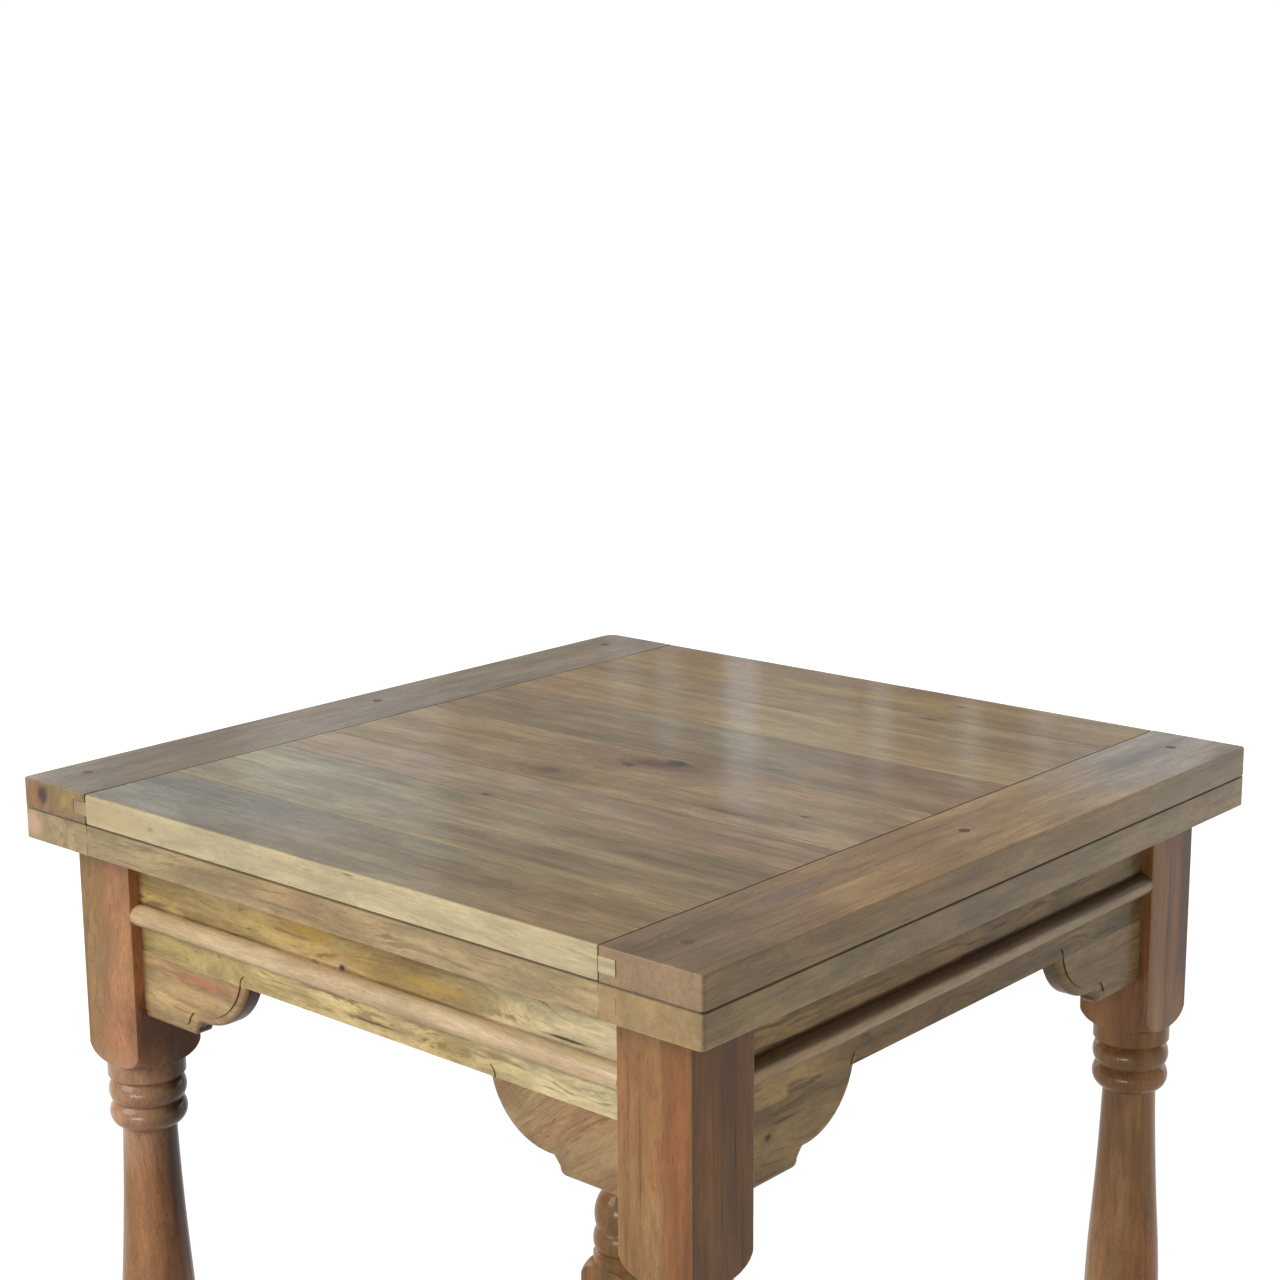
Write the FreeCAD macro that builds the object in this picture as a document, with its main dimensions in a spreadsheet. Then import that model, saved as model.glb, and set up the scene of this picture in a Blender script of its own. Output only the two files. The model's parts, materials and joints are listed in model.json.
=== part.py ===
# Butterfly table: a square table whose doubled top slides along its frame and unfolds to twice its length.
#
# Millimetres, +Z up. The origin is on the floor under the middle of the closed table. The planks of the
# top run along X, the fold line is the -X edge of the top, and the front of the table faces -Y.
import FreeCAD, Part
import math
import os
from types import SimpleNamespace

import Sketcher

# Driving dimensions, one row of the sheet each
SIZES = {
    # Whole table
    "table_height": 780.0,
    "top_side": 770.0,
    "frame_half_length": 351.0,
    "frame_half_width": 356.0,
    # The two leaves
    "leaf_thickness": 27.0,
    "leaf_gap": 0.4,
    "corner_round": 4.0,
    "worn_corner_round": 11.0,
    "board_width_left": 89.0,
    "board_width_right": 94.0,
    "tongue_thickness": 12.0,
    "end_tongue": 16.0,
    "edge_tongue": 7.0,
    "tongue_play": 0.3,
    "board_tenon": 72.0,
    "board_tenon_half": 20.0,
    "peg_radius": 5.0,
    "peg_play": 0.05,
    "peg_reach_left": 57.0,
    "peg_reach_right": 43.0,
    "peg_row_end": 340.0,
    "peg_row_middle": 4.0,
    "upper_joint_1": -289.0,
    "upper_joint_2": -169.0,
    "upper_joint_3": -105.0,
    "upper_joint_4": 26.0,
    "upper_joint_5": 137.0,
    "upper_joint_6": 231.0,
    "upper_joint_7": 299.0,
    "lower_joint_1": -262.0,
    "lower_joint_2": -140.0,
    "lower_joint_3": -32.0,
    "lower_joint_4": 90.0,
    "lower_joint_5": 238.0,
    # Hinges between the leaves
    "hinge_width": 50.0,
    "hinge_reach": 34.0,
    "hinge_plate": 1.5,
    "knuckle_radius": 2.75,
    "knuckle_gap": 0.3,
    "pin_radius": 1.25,
    "running_play": 0.05,
    "fold_offset": 0.25,
    "recess_play": 0.3,
    "notch_play": 0.4,
    "hinge_row_inner": 90.0,
    "hinge_row_outer": 265.0,
    "hinge_screw_near": 13.5,
    "hinge_screw_far": 26.5,
    "hinge_screw_side": 15.0,
    "hinge_screw_radius": 1.5,
    "hinge_screw_head": 3.0,
    "hinge_screw_length": 15.0,
    # Legs
    "leg_width": 70.0,
    "foot_chamfer": 2.0,
    "block_bottom": 541.0,
    "pommel_bottom": 520.0,
    "pommel_round": 20.0,
    "collar_radius": 34.7,
    "collar_bottom": 505.5,
    "notch_radius": 30.4,
    "ring_top": 502.0,
    "ring_middle": 480.0,
    "ring_round": 16.5,
    "last_ring_round": 14.5,
    "shaft_top": 456.0,
    "shaft_top_radius": 24.2,
    "shaft_hollow_round": 2890.0,
    "shaft_bend": 320.0,
    "shaft_bend_radius": 31.2,
    "shaft_swell_round": 1237.0,
    "belly_height": 227.0,
    "belly_radius": 34.7,
    "belly_round": 90.0,
    "neck_top": 189.5,
    "neck_top_radius": 26.5,
    "neck_round": 45.0,
    "neck_bottom": 170.8,
    "neck_radius": 22.4,
    "bulb_top": 158.0,
    "bulb_round": 44.9,
    "bulb_bottom": 114.0,
    "low_ring_round": 27.0,
    "low_ring_bottom": 85.0,
    "low_collar_top": 82.0,
    "low_collar_bottom": 71.5,
    "foot_block_top": 51.0,
    # Aprons, beads and brackets
    "apron_recess": 11.0,
    "apron_thickness": 20.0,
    "apron_bottom": 632.0,
    "tenon_shoulder": 5.0,
    "tenon_thickness": 10.0,
    "tenon_length": 32.0,
    "tenon_play": 0.5,
    "tenon_low": 642.0,
    "tenon_high": 712.0,
    "bead_middle": 666.0,
    "bead_height": 19.0,
    "bead_let_in": 3.0,
    "bracket_thickness": 18.0,
    "bracket_height": 61.5,
    "bracket_step": 1.4,
    "bracket_border": 8.5,
    "bracket_edge_round": 5.0,
    "lobe_round": 61.8,
    "lobe_centre_run": 79.7,
    "lobe_centre_rise": 13.7,
    "lobe_notch_run": 75.5,
    "heel_run": 70.0,
    "heel_round": 7.0,
    "bracket_tongue_near": 6.0,
    "bracket_tongue_far": 12.0,
    "bracket_tongue_height": 8.0,
    "bracket_tongue_start": 10.0,
    "bracket_tongue_end": 118.0,
    "hook_height": 10.0,
    "hook_run": 6.0,
    "hook_width": 1.6,
    "hook_round": 10.0,
    # Corner blocks
    "block_low": 640.0,
    "block_high": 672.0,
    "block_reach": 75.0,
    "block_play": 0.5,
    "block_screw_run": 50.0,
    "block_screw_seat": 12.0,
    # Slide
    "glide_thickness": 0.7,
    "glide_play": 0.1,
    "glide_edge": 3.0,
    "rail_thickness": 24.0,
    "rail_low": 678.0,
    "rail_high": 721.0,
    "rail_end_play": 0.5,
    "rail_groove_depth": 10.0,
    "rail_groove_low": 696.0,
    "rail_groove_high": 708.0,
    "rail_screw_run": 200.0,
    "rail_screw_drop": 9.0,
    "rail_screw_seat": 12.0,
    "slider_length": 172.0,
    "slider_end_play": 2.0,
    "slider_width": 30.0,
    "slider_low": 684.0,
    "slide_play": 0.6,
    "slider_screw_inset": 35.0,
    "slider_screw_seat": 22.0,
    # Wood screws of the frame and of the sliders
    "screw_radius": 2.0,
    "screw_head_radius": 4.0,
    "screw_head_height": 2.6,
    "screw_bite": 13.0,
    "screw_play": 0.05,
    "screw_head_play": 0.6,
    "screw_slot": 1.0,
}
# How far the stock that the lathe takes off reaches past the leg's corners
LATHE_SWEEP = 60.0
# Knuckles of a hinge, counted over both halves
KNUCKLES = 5
# Least distance between two edges, and least volume that a cut takes
NEAR = 1e-6
SHAVING = 1e-3


class Dim:
    """A length: its value in millimetres and the sheet formula that gives it."""

    def __init__(self, value, text):
        self.value = float(value)
        self.text = text

    @staticmethod
    def of(other):
        return other if isinstance(other, Dim) else Dim(other, repr(float(other)))

    def __add__(self, other):
        other = Dim.of(other)
        return Dim(self.value + other.value, f"({self.text} + {other.text})")

    def __sub__(self, other):
        other = Dim.of(other)
        return Dim(self.value - other.value, f"({self.text} - {other.text})")

    def __rsub__(self, other):
        return Dim.of(other) - self

    def __mul__(self, factor):
        return Dim(self.value * factor, f"({self.text} * {float(factor)!r})")

    def __truediv__(self, divisor):
        return Dim(self.value / divisor, f"({self.text} / {float(divisor)!r})")

    def __neg__(self):
        return Dim(-self.value, f"(0 - {self.text})")

    __radd__ = __add__
    __rmul__ = __mul__


def other_leg(hypotenuse, side):
    """Third side of a right triangle, from its long side and one short side."""
    return Dim(math.sqrt(hypotenuse.value**2 - side.value**2), f"sqrt({hypotenuse.text}^2 - {side.text}^2)")


doc = FreeCAD.newDocument("butterfly_table")
sheet = doc.addObject("Spreadsheet::Sheet", "sizes")
for row, (name, size) in enumerate(SIZES.items(), start=1):
    sheet.set(f"A{row}", name)
    sheet.set(f"B{row}", str(size))
    sheet.setAlias(f"B{row}", name)
doc.recompute()
s = SimpleNamespace(**{name: Dim(size, f"sizes.{name}") for name, size in SIZES.items()})

# Levels and lines that several pieces share
half_top = s.top_side / 2
upper_bottom = s.table_height - s.leaf_thickness
lower_top = upper_bottom - s.leaf_gap
lower_bottom = lower_top - s.leaf_thickness
glide_top = lower_bottom - s.glide_play
frame_top = glide_top - s.glide_thickness
fold_height = lower_top + s.leaf_gap / 2
fold_line = -half_top - s.fold_offset
board_joint_left = s.board_width_left - half_top
board_joint_right = half_top - s.board_width_right
front_run = s.frame_half_length - s.leg_width
side_run = s.frame_half_width - s.leg_width
hinge_rows = (-s.hinge_row_outer, -s.hinge_row_inner, s.hinge_row_inner, s.hinge_row_outer)
peg_rows = (-s.peg_row_end, s.peg_row_middle, s.peg_row_end)
bracket_low = s.apron_bottom - s.bracket_height
PLANES = {"x": ("YZ_Plane", 1), "y": ("XZ_Plane", -1), "z": ("XY_Plane", 1)}
parts = []


def bind(thing, path, size):
    """Bind one property of a document object to its sheet formula."""
    thing.setExpression(path, Dim.of(size).text)


def place(thing, x, y, z, turn=0.0, about=(0, 0, 1)):
    """Put an object at a point bound to the sheet, turned by some degrees about an axis."""
    rotation = FreeCAD.Rotation(FreeCAD.Vector(*about), turn)
    spot = FreeCAD.Vector(*(Dim.of(value).value for value in (x, y, z)))
    thing.Placement = FreeCAD.Placement(spot, rotation)
    for letter, value in zip("xyz", (x, y, z)):
        bind(thing, f"Placement.Base.{letter}", value)
    return thing


def finish(thing, label):
    """Name an object as one of the table's pieces."""
    thing.Label = label
    parts.append(thing)
    return thing


def rect(u0, u1, v0, v1):
    """Corners of a rectangle."""
    return [(u0, v0), (u1, v0), (u1, v1), (u0, v1)]


def circle(u, v, radius):
    """A round outline."""
    return SimpleNamespace(u=u, v=v, radius=radius)


def mirrored(corners, hand):
    """An outline as it is for hand 1, or flipped left to right for hand -1."""
    return [(corner[0] * hand, corner[1], *(bend * hand for bend in corner[2:])) for corner in corners]


def arc_between(start, end, bend):
    """Arc of radius |bend| from start to end, whose centre is left of the way for a positive bend."""
    radius = abs(bend)
    chord = end - start
    left = FreeCAD.Vector(-chord.y, chord.x, 0).normalize() * math.copysign(1, bend)
    rise = math.sqrt(max(radius**2 - (chord.Length / 2) ** 2, 0.0))
    centre = start + chord / 2 + left * rise
    first, last = (start, end) if bend > 0 else (end, start)
    angles = [math.atan2(point.y - centre.y, point.x - centre.x) for point in (first, last)]
    return Part.ArcOfCircle(Part.Circle(centre, FreeCAD.Vector(0, 0, 1), radius), *angles)


class Piece:
    """A piece of wood or a screw: a body made of outlines that are padded or cut between two planes."""

    def __init__(self, label, is_node=True):
        self.body = doc.addObject("PartDesign::Body", label)
        if is_node:
            finish(self.body, label)

    def constrain(self, sketch, size, *constraint):
        """Add a dimension to a sketch and bind it to the sheet."""
        index = sketch.addConstraint(Sketcher.Constraint(*constraint, Dim.of(size).value))
        bind(sketch, f"Constraints[{index}]", size)

    def draw_circle(self, sketch, shape):
        """Draw a circle fixed by its centre and radius."""
        centre = FreeCAD.Vector(Dim.of(shape.u).value, Dim.of(shape.v).value, 0)
        normal = FreeCAD.Vector(0, 0, 1)
        edge = sketch.addGeometry(Part.Circle(centre, normal, Dim.of(shape.radius).value))
        self.constrain(sketch, shape.u, "DistanceX", -1, 1, edge, 3)
        self.constrain(sketch, shape.v, "DistanceY", -1, 1, edge, 3)
        self.constrain(sketch, shape.radius, "Radius", edge)

    def draw_outline(self, sketch, corners):
        """Draw a closed outline fixed by its corners and by the radii of its arcs.

        A corner (u, v) is reached by a straight edge, and (u, v, bend) by an arc of that radius.
        """
        points = [FreeCAD.Vector(Dim.of(c[0]).value, Dim.of(c[1]).value, 0) for c in corners]
        ends = []
        for index, corner in enumerate(corners):
            start, end = points[index - 1], points[index]
            if len(corner) == 2:
                edge = sketch.addGeometry(Part.LineSegment(start, end))
                ends.append((edge, 1, 2))
            else:
                bend = Dim.of(corner[2])
                edge = sketch.addGeometry(arc_between(start, end, bend.value))
                ends.append((edge, 1, 2) if bend.value > 0 else (edge, 2, 1))
                self.constrain(sketch, bend if bend.value > 0 else -bend, "Radius", edge)
        for index, (edge, first, last) in enumerate(ends):
            before, _, tail = ends[index - 1]
            sketch.addConstraint(Sketcher.Constraint("Coincident", before, tail, edge, first))
            self.constrain(sketch, corners[index][0], "DistanceX", -1, 1, edge, last)
            self.constrain(sketch, corners[index][1], "DistanceY", -1, 1, edge, last)

    def sketch(self, axis, at, shapes):
        """Draw shapes on the plane that crosses an axis at a distance from the body's origin."""
        role, facing = PLANES[axis]
        sketch = self.body.newObject("Sketcher::SketchObject", "sketch")
        plane = next(item for item in self.body.Origin.OriginFeatures if item.Role == role)
        sketch.AttachmentSupport = [(plane, "")]
        sketch.MapMode = "FlatFace"
        bind(sketch, "AttachmentOffset.Base.z", Dim.of(at) * facing)
        for shape in shapes:
            if isinstance(shape, list):
                self.draw_outline(sketch, shape)
            else:
                self.draw_circle(sketch, shape)
        return sketch

    def pad(self, axis, start, end, *shapes):
        """Add material between two planes across an axis."""
        feature = self.body.newObject("PartDesign::Pad", "pad")
        feature.Profile = self.sketch(axis, start, shapes)
        bind(feature, "Length", Dim.of(end) - start)
        feature.Reversed = PLANES[axis][1] < 0
        self.body.Tip = feature
        return self

    def cut(self, axis, start, end, *shapes):
        """Take material away between two planes across an axis, and check that some went."""
        doc.recompute()
        before = self.body.Shape.Volume
        feature = self.body.newObject("PartDesign::Pocket", "pocket")
        feature.Profile = self.sketch(axis, start, shapes)
        bind(feature, "Length", Dim.of(end) - start)
        feature.Reversed = PLANES[axis][1] > 0
        self.body.Tip = feature
        self.check_cut(before)
        return self

    def turn(self, corners):
        """Turn the piece about its Z axis, taking away the swept outline."""
        doc.recompute()
        before = self.body.Shape.Volume
        feature = self.body.newObject("PartDesign::Groove", "turning")
        sketch = self.sketch("y", 0, [corners])
        feature.Profile = sketch
        feature.ReferenceAxis = (sketch, ["V_Axis"])
        feature.Angle = 360.0
        self.body.Tip = feature
        self.check_cut(before)
        return self

    def check_cut(self, before):
        """Stop if the last cut took nothing away."""
        doc.recompute()
        if not self.body.Shape.Volume < before - SHAVING:
            raise RuntimeError(f"{self.body.Label}: {self.body.Tip.Label} cuts nothing")

    def soften(self, kind, size_name, size, wanted):
        """Fillet or chamfer the edges that a test on their middle point picks."""
        doc.recompute()
        names = []
        for index, edge in enumerate(self.body.Tip.Shape.Edges, start=1):
            middle = edge.valueAt((edge.FirstParameter + edge.LastParameter) / 2)
            if wanted(middle):
                names.append(f"Edge{index}")
        base = self.body.Tip
        feature = self.body.newObject(kind, "softened")
        feature.Base = (base, names)
        bind(feature, size_name, size)
        self.body.Tip = feature
        return self

    def at(self, x, y, z, turn=0.0):
        """Put the finished piece in its place in the table."""
        place(self.body, x, y, z, turn)
        return self


def block(x0, x1, y0, y1, z0, z1):
    """A plain block between six planes."""
    thing = doc.addObject("Part::Box", "block")
    for path, low, high in (("Length", x0, x1), ("Width", y0, y1), ("Height", z0, z1)):
        bind(thing, path, Dim.of(high) - low)
    return place(thing, x0, y0, z0)


ROD_TURNS = {"x": (90.0, (0, 1, 0)), "y": (-90.0, (1, 0, 0)), "z": (0.0, (0, 0, 1)), "-z": (180.0, (1, 0, 0))}


def rod(axis, length, radius, x, y, z):
    """A cylinder that starts at a point and runs along an axis."""
    thing = doc.addObject("Part::Cylinder", "rod")
    bind(thing, "Radius", radius)
    bind(thing, "Height", length)
    return place(thing, x, y, z, *ROD_TURNS[axis])


def cone(axis, length, start_radius, end_radius, x, y, z):
    """A cone that starts at a point and runs along an axis."""
    thing = doc.addObject("Part::Cone", "cone")
    bind(thing, "Radius1", start_radius)
    bind(thing, "Radius2", end_radius)
    bind(thing, "Height", length)
    return place(thing, x, y, z, *ROD_TURNS[axis])


def fused(*things):
    """Several solids joined into one."""
    joined = doc.addObject("Part::MultiFuse", "fused")
    joined.Shapes = list(things)
    joined.Refine = True
    return joined


def without(base, *tools):
    """A solid with others taken out of it."""
    result = doc.addObject("Part::Cut", "cut")
    result.Base = base
    result.Tool = tools[0] if len(tools) == 1 else fused(*tools)
    return result


def group(label, things):
    """Separate solids that share one name."""
    bundle = doc.addObject("Part::Compound", label)
    bundle.Links = list(things)
    return finish(bundle, label)


# Places of the four sides and of the four legs round the frame
SIDES = {
    "front": (front_run, 0, s.apron_recess - s.frame_half_width, 0.0),
    "right": (side_run, s.frame_half_length - s.apron_recess, 0, 90.0),
    "back": (front_run, 0, s.frame_half_width - s.apron_recess, 180.0),
    "left": (side_run, s.apron_recess - s.frame_half_length, 0, 270.0),
}
leg_x = s.frame_half_length - s.leg_width / 2
leg_y = s.frame_half_width - s.leg_width / 2
CORNERS = {
    "front_right": (1, -1, 0.0),
    "back_right": (1, 1, 90.0),
    "back_left": (-1, 1, 180.0),
    "front_left": (-1, -1, 270.0),
}


def leg_turning():
    """Outline, as radius and height, of the stock that the lathe takes off a square leg."""
    corner = s.leg_width * math.sqrt(0.5)
    return [
        (LATHE_SWEEP, s.block_bottom),
        (corner, s.block_bottom),
        (s.collar_radius, s.pommel_bottom, -s.pommel_round),
        (s.collar_radius, s.collar_bottom),
        (s.notch_radius, s.ring_top),
        (s.notch_radius, s.ring_middle, -s.ring_round),
        (s.shaft_top_radius, s.shaft_top, -s.last_ring_round),
        (s.shaft_bend_radius, s.shaft_bend, s.shaft_hollow_round),
        (s.belly_radius, s.belly_height, -s.shaft_swell_round),
        (s.neck_top_radius, s.neck_top, -s.belly_round),
        (s.neck_radius, s.neck_bottom, s.neck_round),
        (s.neck_radius, s.bulb_top),
        (s.notch_radius, s.bulb_bottom, -s.bulb_round),
        (s.notch_radius, s.low_ring_bottom, -s.low_ring_round),
        (s.collar_radius, s.low_collar_top),
        (s.collar_radius, s.low_collar_bottom),
        (corner, s.foot_block_top, -s.pommel_round),
        (LATHE_SWEEP, s.foot_block_top),
    ]


def make_leg(corner, x, y, turn):
    """A square leg turned between its two blocks, with a mortise for each of its two aprons."""
    half = s.leg_width / 2
    near = s.apron_recess + s.tenon_shoulder - half
    far = near + s.tenon_thickness
    inner = s.tenon_length + s.tenon_play - half
    piece = Piece(f"leg_{corner}")
    piece.pad("z", 0, frame_top, rect(-half, half, -half, half))
    piece.turn(leg_turning())
    piece.cut("x", -half, inner, rect(near, far, s.tenon_low, s.tenon_high))
    piece.cut("y", -inner, half, rect(-far, -near, s.tenon_low, s.tenon_high))
    piece.soften("PartDesign::Chamfer", "Size", s.foot_chamfer, lambda middle: middle.z < NEAR)
    piece.at(x, y, 0, turn)


def bracket_outline(run, border):
    """Face of a right-hand bracket, with its scalloped edge drawn in by a border."""
    round_edge = s.lobe_round - border
    low = s.apron_bottom + s.lobe_centre_rise - round_edge
    heel = run - s.heel_run + border
    return [
        (run, s.apron_bottom),
        (run - s.lobe_centre_run - other_leg(round_edge, s.lobe_centre_rise), s.apron_bottom),
        (run - s.lobe_centre_run, low, round_edge),
        (run - s.lobe_notch_run + border, low),
        (heel, bracket_low + border + s.heel_round),
        (heel + s.heel_round, bracket_low + border, s.heel_round),
        (run, bracket_low + border),
    ]


def hook_outline(run):
    """The small curl in an apron's face where the line along a right-hand bracket runs out."""
    round_edge = s.lobe_round - s.bracket_border
    start = run - s.lobe_centre_run - other_leg(round_edge, s.lobe_centre_rise)
    top = s.apron_bottom + s.hook_height
    return [
        (start, s.apron_bottom),
        (start - s.hook_run, top, s.hook_round),
        (start - s.hook_run, top - s.hook_width),
        (start - s.hook_width, s.apron_bottom, -s.hook_round),
    ]


def make_apron(side, run, x, y, turn):
    """An apron with its tenons, the channel of its bead, and grooves and screw holes for its neighbours."""
    thick = s.apron_thickness
    tenon_far = s.tenon_shoulder + s.tenon_thickness
    tenon_end = run + s.tenon_length
    bead_half = s.bead_height / 2
    groove_top = s.apron_bottom + s.bracket_tongue_height + s.tongue_play
    hole = s.screw_radius + s.screw_play
    bite = thick - s.screw_bite - s.screw_play
    block_middle = (s.block_low + s.block_high) / 2
    piece = Piece(f"apron_{side}")
    piece.pad("y", 0, thick, rect(-run, run, s.apron_bottom, frame_top))
    piece.pad("y", s.tenon_shoulder, tenon_far, rect(-tenon_end, tenon_end, s.tenon_low, s.tenon_high))
    piece.cut("y", 0, s.bead_let_in, rect(-run, run, s.bead_middle - bead_half, s.bead_middle + bead_half))
    for hand in (-1, 1):
        ends = ((run - s.bracket_tongue_end) * hand, (run - s.bracket_tongue_start) * hand)
        groove = rect(*ends, s.bracket_tongue_near, s.bracket_tongue_far)
        piece.cut("z", s.apron_bottom, groove_top, groove)
        piece.cut("y", 0, s.bracket_step, mirrored(hook_outline(run), hand))
        piece.cut("y", bite, thick, circle((run - s.block_screw_run) * hand, block_middle, hole))
    if side in ("front", "back"):
        row = s.rail_low + s.rail_screw_drop
        piece.cut("y", bite, thick, *(circle(u, row, hole) for u in rail_screw_row()))
    piece.at(x, y, 0, turn)


def rail_screw_row():
    """Where the screws of a guide rail stand along it."""
    return (-s.rail_screw_run, Dim.of(0), s.rail_screw_run)


def make_bead(side, run, x, y, turn):
    """A half-round bead let into an apron, as proud as the legs' faces."""
    half = s.bead_height / 2
    low, high = s.bead_middle - half, s.bead_middle + half
    stilt = half - s.apron_recess
    piece = Piece(f"bead_{side}")
    section = [
        (s.bead_let_in, high),
        (stilt, high),
        (-s.apron_recess, s.bead_middle, half),
        (stilt, low, half),
        (s.bead_let_in, low),
    ]
    piece.pad("x", -run, run, section)
    piece.at(x, y, 0, turn)


def make_bracket(side, run, x, y, turn, hand, name):
    """A scalloped bracket under an apron: a stepped round edge along its profile, and a tongue on top."""
    piece = Piece(f"bracket_{side}_{name}")
    edge = mirrored(bracket_outline(run, Dim.of(0)), hand)
    face = mirrored(bracket_outline(run, s.bracket_border), hand)
    tongue_ends = ((run - s.bracket_tongue_end) * hand, (run - s.bracket_tongue_start) * hand)
    tongue_top = s.apron_bottom + s.bracket_tongue_height
    piece.pad("y", s.bracket_step, s.bracket_thickness, edge)
    front = s.bracket_step.value
    top = s.apron_bottom.value
    leg_face = run.value

    def on_scallop(middle):
        in_front = abs(middle.y - front) < NEAR
        return in_front and middle.z < top - NEAR and abs(middle.x) < leg_face - NEAR

    piece.soften("PartDesign::Fillet", "Radius", s.bracket_edge_round, on_scallop)
    piece.pad("y", 0, s.bracket_step, face)
    tongue = rect(*tongue_ends, s.apron_bottom, tongue_top)
    piece.pad("y", s.bracket_tongue_near, s.bracket_tongue_far, tongue)
    piece.at(x, y, 0, turn)


def wood_screw(axis, tip, x, y, z):
    """A slotted screw whose head sits at a point and whose shank runs along an axis to its tip."""
    head = rod(axis, s.screw_head_height, s.screw_head_radius, x, y, z)
    shank = rod(axis, tip, s.screw_radius, x, y, z)
    return fused(head, shank)


def slotted(screw, x0, x1, y0, y1, z0, z1):
    """A screw with the slot for a driver cut across its head."""
    return without(screw, block(x0, x1, y0, y1, z0, z1))


def make_corner_block(corner, x, y, turn):
    """A glue block across the inside of a corner, notched round the leg and screwed to both aprons."""
    half = s.leg_width / 2
    wall = s.apron_recess + s.apron_thickness - half
    inside = half + s.block_play
    far = half + s.block_reach
    middle = (s.block_low + s.block_high) / 2
    run = half + s.block_screw_run
    seat = wall + s.block_screw_seat
    hole = s.screw_radius + s.screw_play
    head = s.screw_head_radius + s.screw_head_play
    piece = Piece(f"corner_block_{corner}")
    piece.pad("z", s.block_low, s.block_high, [
        (-far, wall), (-inside, wall), (-inside, inside), (-wall, inside), (-wall, far),
    ])
    piece.cut("y", wall, far, circle(-run, middle, hole))
    piece.cut("y", seat, far, circle(-run, middle, head))
    piece.cut("x", -far, -wall, circle(run, middle, hole))
    piece.cut("x", -far, -seat, circle(run, middle, head))
    piece.at(x, y, 0, turn)


def frame_screw(side_turn, x, y, z, length):
    """A slotted screw driven outwards into an apron, from a seat on the inner side of its block or rail."""
    piece = Piece("screw", is_node=False)
    top = s.screw_head_height
    slot = s.screw_slot / 2
    wide = s.screw_head_radius + s.screw_slot
    piece.pad("y", 0, top, circle(0, 0, s.screw_head_radius))
    piece.pad("y", -length, 0, circle(0, 0, s.screw_radius))
    piece.cut("y", top - s.screw_slot, top, rect(-wide, wide, -slot, slot))
    return place(piece.body, x, y, z, side_turn)


def make_corner_screws():
    """Two screws in each corner block."""
    half = s.leg_width / 2
    wall = s.apron_recess + s.apron_thickness - half
    seat = wall + s.block_screw_seat
    run = half + s.block_screw_run
    middle = (s.block_low + s.block_high) / 2
    length = s.block_screw_seat + s.screw_bite
    screws = []
    for out_x, out_y, _ in CORNERS.values():
        long_turn = 0.0 if out_y < 0 else 180.0
        cross_turn = 90.0 if out_x > 0 else 270.0
        screws.append(frame_screw(long_turn, (leg_x - run) * out_x, (leg_y - seat) * out_y, middle, length))
        screws.append(frame_screw(cross_turn, (leg_x - seat) * out_x, (leg_y - run) * out_y, middle, length))
    group("corner_block_screws", screws)


def make_guide_rail(side, run, x, y, turn):
    """A rail inside a long apron, with the groove that a slider's tongue runs in."""
    near = s.apron_thickness
    far = near + s.rail_thickness
    end = run - s.rail_end_play
    row = s.rail_low + s.rail_screw_drop
    hole = s.screw_radius + s.screw_play
    head = s.screw_head_radius + s.screw_head_play
    piece = Piece(f"guide_rail_{side}")
    piece.pad("y", near, far, rect(-end, end, s.rail_low, s.rail_high))
    groove = rect(-end, end, s.rail_groove_low, s.rail_groove_high)
    piece.cut("y", far - s.rail_groove_depth, far, groove)
    piece.cut("y", near, far, *(circle(u, row, hole) for u in rail_screw_row()))
    piece.cut("y", near + s.rail_screw_seat, far, *(circle(u, row, head) for u in rail_screw_row()))
    piece.at(x, y, 0, turn)


def make_rail_screws():
    """Three screws in each guide rail."""
    row = s.rail_low + s.rail_screw_drop
    seat = s.apron_thickness + s.rail_screw_seat
    length = s.rail_screw_seat + s.screw_bite
    screws = []
    for side, out in (("front", -1), ("back", 1)):
        _, x, y, turn = SIDES[side]
        screws += [frame_screw(turn, x + u, y - seat * out, row, length) for u in rail_screw_row()]
    group("guide_rail_screws", screws)


def slider_ends(hand):
    """Where a slider starts and stops along its side of the closed table, for hand 1 along +X."""
    start = s.slider_end_play - front_run
    stop = start + s.slider_length
    return (start, stop) if hand > 0 else (-stop, -start)


def make_slider(side, x, y, turn, hand):
    """A batten under the lower leaf whose tongue runs in a guide rail."""
    face = s.apron_thickness + s.rail_thickness
    near = face + s.slide_play
    far = near + s.slider_width
    start, stop = slider_ends(hand)
    tongue_tip = face - s.rail_groove_depth + s.slide_play
    low, high = s.rail_groove_low + s.slide_play, s.rail_groove_high - s.slide_play
    middle = near + s.slider_width / 2
    hole = s.screw_radius + s.screw_play
    head = s.screw_head_radius + s.screw_head_play
    spots = (start + s.slider_screw_inset, stop - s.slider_screw_inset)
    seat = lower_bottom - s.slider_screw_seat
    piece = Piece(f"slider_{side}")
    piece.pad("y", near, far, rect(start, stop, s.slider_low, lower_bottom))
    piece.pad("y", tongue_tip, far, rect(start, stop, low, high))
    piece.cut("z", s.slider_low, lower_bottom, *(circle(u, middle, hole) for u in spots))
    piece.cut("z", s.slider_low, seat, *(circle(u, middle, head) for u in spots))
    piece.at(x, y, 0, turn)


def slider_screw_spots(side):
    """Plan positions of one slider's screws in the closed table."""
    out = -1 if side == "front" else 1
    offset = s.apron_thickness + s.rail_thickness + s.slide_play + s.slider_width / 2
    row = SIDES[side][2] - offset * out
    start, stop = slider_ends(1)
    return [(start + s.slider_screw_inset, row), (stop - s.slider_screw_inset, row)]


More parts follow.
